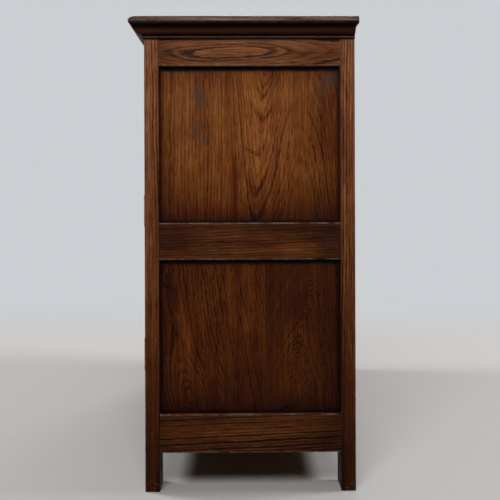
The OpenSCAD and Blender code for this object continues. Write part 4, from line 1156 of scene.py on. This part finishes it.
def fixingGroup():
    group, maker, given, names = newGroup("fixingRuns", {
        "Head": ("Object", None), "Radius": ("Float", 0.002), "Height": ("Float", 0.0005),
        "Spacing": ("Float", 0.02), "Seed": ("Int", 3), "Finish": ("Material", None)})
    head = maker.add("GeometryNodeObjectInfo", {"transform_space": "ORIGINAL"}, {"Object": given["Head"]},
                     "Geometry")
    runs = maker.add("GeometryNodeMeshToCurve", None, {"Mesh": given["Geometry"]})
    points = maker.add("GeometryNodeResampleCurve", {"mode": "LENGTH"}, {"Curve": runs, "Length": given["Spacing"]})
    facing = maker.add("GeometryNodeInputNamedAttribute", {"data_type": "FLOAT_VECTOR"}, {"Name": "facing"})
    aligned = maker.add("FunctionNodeAlignRotationToVector", {"axis": "Z"}, {"Vector": facing})
    turn = maker.add("FunctionNodeRandomValue", {"data_type": "FLOAT"},
                     {2: 0.0, 3: math.pi, "Seed": given["Seed"]}, 1)
    spin = maker.add("FunctionNodeEulerToRotation", None, {0: maker.add("ShaderNodeCombineXYZ", None, {2: turn})})
    rotation = maker.add("FunctionNodeRotateRotation", {"rotation_space": "LOCAL"}, {0: aligned, 1: spin})
    size = maker.add("ShaderNodeCombineXYZ", None, {0: given["Radius"], 1: given["Radius"], 2: given["Height"]})
    placed = maker.add("GeometryNodeInstanceOnPoints", None, {
        "Points": points, "Instance": head, "Rotation": rotation, "Scale": size})
    closeGroup(maker, placed, given["Finish"])
    return group, names


def makeFixings(group, names, head, name, kind, finish, body, spacing, runs):
    mesh = bpy.data.meshes.new(name)
    points = [point for start, end, _ in runs for point in (start, end)]
    mesh.from_pydata(points, [(2 * i, 2 * i + 1) for i in range(len(runs))], [])
    facing = mesh.attributes.new("facing", "FLOAT_VECTOR", "POINT")
    for i, (_, _, way) in enumerate(runs):
        facing.data[2 * i].vector = facing.data[2 * i + 1].vector = way
    piece = runTree(name, mesh, group, names, {
        "Head": head, "Radius": heads[kind]["radius"], "Height": heads[kind]["height"], "Spacing": spacing,
        "Seed": len(runs), "Finish": finishes[finish]})
    dressPiece(piece, finish, [], body, fixingSlots[finish], dome["smooth"])


def leafRuns(side, onDoor):
    # up the middle of both hinge leaves of a door, or of the frame's leaves that they close on
    leafLow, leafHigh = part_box("hinge_frame_leaves")
    pinX = (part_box("right_door_hinge_leaves")[0].x + leafHigh.x) / 2  # the barrel's axis
    facing = side if onDoor else -side
    x, y = side * pinX - facing * fixings["sunk"], (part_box("right_front_leg")[0].y + leafHigh.y) / 2
    long, ends = fixings["leaf"], fixings["leafEnds"]
    return [((x, y, z + ends), (x, y, z + long - ends), (facing, 0, 0)) for z in (leafLow.z, leafHigh.z - long)]


def backRuns():
    # along the back's top, middle and bottom rail, then up its sides between them
    low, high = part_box("back_panel")
    edge, step = fixings["backInset"], fixings["backSpacing"]
    middle = sum(corner.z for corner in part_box("back_mid_rail")) / 2
    left, right = low.x + edge, high.x - edge
    levels = (low.z + edge, middle, high.z - edge)
    runs = [((left, high.y, z), (right, high.y, z), (0, 1, 0)) for z in levels]
    for x in (left, right):
        for start, end in zip(levels, levels[1:]):
            runs.append(((x, high.y, start + step), (x, high.y, end - step), (0, 1, 0)))
    return runs


def plannedFixings():
    # [name, kind of head, finish, body, spacing, runs]; a run: (start, end, the way its heads face)
    planned = []
    leafStep = (fixings["leaf"] - 2 * fixings["leafEnds"]) / 2
    face, strikeFace = doorFace - fixings["plate"], doorBack + strike["thick"]
    strikeZ = doorTop - strike["fromTop"] - strike["high"] / 2
    strikeReach = strike["long"] / 2 - fixings["strikeEnds"]
    for side, name in sides:
        door = name + "_door"
        planned.append((f"brass_screws_{door}", "screw", "agedBrass", door, leafStep, leafRuns(side, True)))
        low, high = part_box(door + "_plate")
        x, ends = (low.x + high.x) / 2, fixings["doorPlateEnds"]
        planned.append((f"brass_pins_{door}", "pin", "agedBrass", door, endsOnly, [
            ((x, face, low.z + ends), (x, face, high.z - ends), (0, -1, 0))]))
        low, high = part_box(name + "_drawer_plate")
        x, z = (low.x + high.x) / 2, (low.z + high.z) / 2
        ends, inset = fixings["drawerPlateEnds"], fixings["drawerPlateSides"]
        planned.append((f"brass_pins_{name}_drawer", "pin", "agedBrass", name + "_drawer", endsOnly, [
            ((low.x + inset, face, z), (high.x - inset, face, z), (0, -1, 0)),
            ((x, face, low.z + ends), (x, face, high.z - ends), (0, -1, 0))]))
        x = side * catchX
        planned.append((f"steel_screws_{door}", "smallScrew", "catchSteel", door, endsOnly, [
            ((x - strikeReach, strikeFace, strikeZ), (x + strikeReach, strikeFace, strikeZ), (0, 1, 0))]))
    planned.append(("brass_screws_carcass", "screw", "agedBrass", "carcass", leafStep,
                    leafRuns(1, False) + leafRuns(-1, False)))
    y, z, reach = (catchLow.y + catchHigh.y) / 2, catchLow.z, catch["long"] / 2 - fixings["catchEnds"]
    planned.append(("steel_screws_carcass", "smallScrew", "catchSteel", "carcass", endsOnly, [
        ((side * catchX - reach, y, z), (side * catchX + reach, y, z), (0, 0, -1)) for side in (-1, 1)]))
    planned.append(("steel_pins_back", "backPin", "catchSteel", "carcass", fixings["backSpacing"], backRuns()))
    return planned


def makeAllFixings():
    group, names = fixingGroup()
    headObjects = {kind: unitHead(look["slot"]) for kind, look in heads.items()}
    planned = plannedFixings()
    for name, kind, *more in planned:
        makeFixings(group, names, headObjects[kind], name, kind, *more)
    for head in headObjects.values():
        bpy.data.objects.remove(head)
    print("screws and pins: %d pieces" % len(planned))


makeAllFixings()


# studio: pale floor, soft lamps, camera

studio = {
    # light comes from overhead and none from the horizon: where it starts and is full
    "paper": (0.60, 0.62, 0.645), "ambient": 0.16, "skyEdges": (0.05, 0.8),
    "floor": {"colour": (0.37, 0.362, 0.353), "size": 30.0, "drop": 0.0004, "paperEdges": (1.1, 2.6)},
    "lamps": [  # place, aim, size, watts
        ((2.5, -0.3, 2.15), (0.4, 0.0, 0.6), 1.3, 64),
        ((-0.7, -2.8, 3.0), (0.0, 0.0, 0.4), 1.2, 112),
        ((-3.4, 0.6, 2.4), (0.0, 0.0, 0.4), 1.6, 90),
        ((0.2, 2.8, 3.0), (0.0, 0.0, 0.4), 1.2, 112),
    ],
    "camera": {"place": (2.262, -0.006, 0.572), "turn": 0.65, "roll": 0.19, "lens": 63.1, "shift": (-0.002, -0.114),
               "clip": (0.05, 60)},
}


def makeWorld():
    world = bpy.data.worlds.new("studio")
    bpy.context.scene.world = world
    world.use_nodes = True
    world.node_tree.nodes.clear()
    tree = NodeTree(world.node_tree)
    seen = tree.add("ShaderNodeBackground", None, {"Color": (*studio["paper"], 1), "Strength": 1.0})
    up = tree.split(tree.place("Generated"))[2]
    strength = tree.between(up, *studio["skyEdges"]) * studio["ambient"]
    light = tree.add("ShaderNodeBackground", None, {"Color": (1, 1, 1, 1), "Strength": strength})
    share = tree.seenBy("Is Camera Ray", "Is Glossy Ray", "Is Transmission Ray")
    both = tree.add("ShaderNodeMixShader", None, {0: share, 1: light, 2: seen})
    tree.add("ShaderNodeOutputWorld", None, {"Surface": both})


def makeFloor():
    # matt under the sideboard, where it takes the shadow, and plain paper farther out
    look = studio["floor"]
    material, tree = newFinish("paleFloor")
    away = tree.vector("LENGTH", tree.place())
    matt = tree.add("ShaderNodeBsdfDiffuse", None, {"Color": (*look["colour"], 1)})
    paper = tree.add("ShaderNodeEmission", None, {"Color": (*studio["paper"], 1), "Strength": 1.0})
    share = tree.between(away, *look["paperEdges"]) * tree.seenBy("Is Camera Ray", "Is Glossy Ray")
    both = tree.add("ShaderNodeMixShader", None, {0: share, 1: matt, 2: paper})
    tree.add("ShaderNodeOutputMaterial", None, {"Surface": both})
    half = look["size"] / 2
    mesh = bpy.data.meshes.new("floor")
    mesh.from_pydata([(-half, -half, 0), (half, -half, 0), (half, half, 0), (-half, half, 0)], [], [(0, 1, 2, 3)])
    mesh.materials.append(material)
    floor = newObject("floor", mesh)
    floor.location.z = -look["drop"]


def makeLamps():
    for i, (at, aim, size, watts) in enumerate(studio["lamps"]):
        lamp = bpy.data.lights.new("lamp%d" % i, "AREA")
        lamp.shape = "DISK"
        lamp.size = size
        lamp.energy = watts
        holder = newObject("lamp%d" % i, lamp)
        holder.location = at
        holder.rotation_euler = (Vector(aim) - Vector(at)).to_track_quat("-Z", "Y").to_euler()
        holder.visible_camera = False


def makeCamera():
    look = studio["camera"]
    camera = bpy.data.cameras.new("camera")
    camera.lens = look["lens"]
    camera.shift_x, camera.shift_y = look["shift"]
    camera.clip_start, camera.clip_end = look["clip"]
    holder = newObject("camera", camera)
    holder.location = look["place"]
    holder.rotation_euler = [math.radians(angle) for angle in (90, look["roll"], 90 - look["turn"])]
    bpy.context.scene.camera = holder


makeWorld()
makeFloor()
makeLamps()
makeCamera()
bpy.context.scene.view_settings.view_transform = "Standard"
print("studio ready")
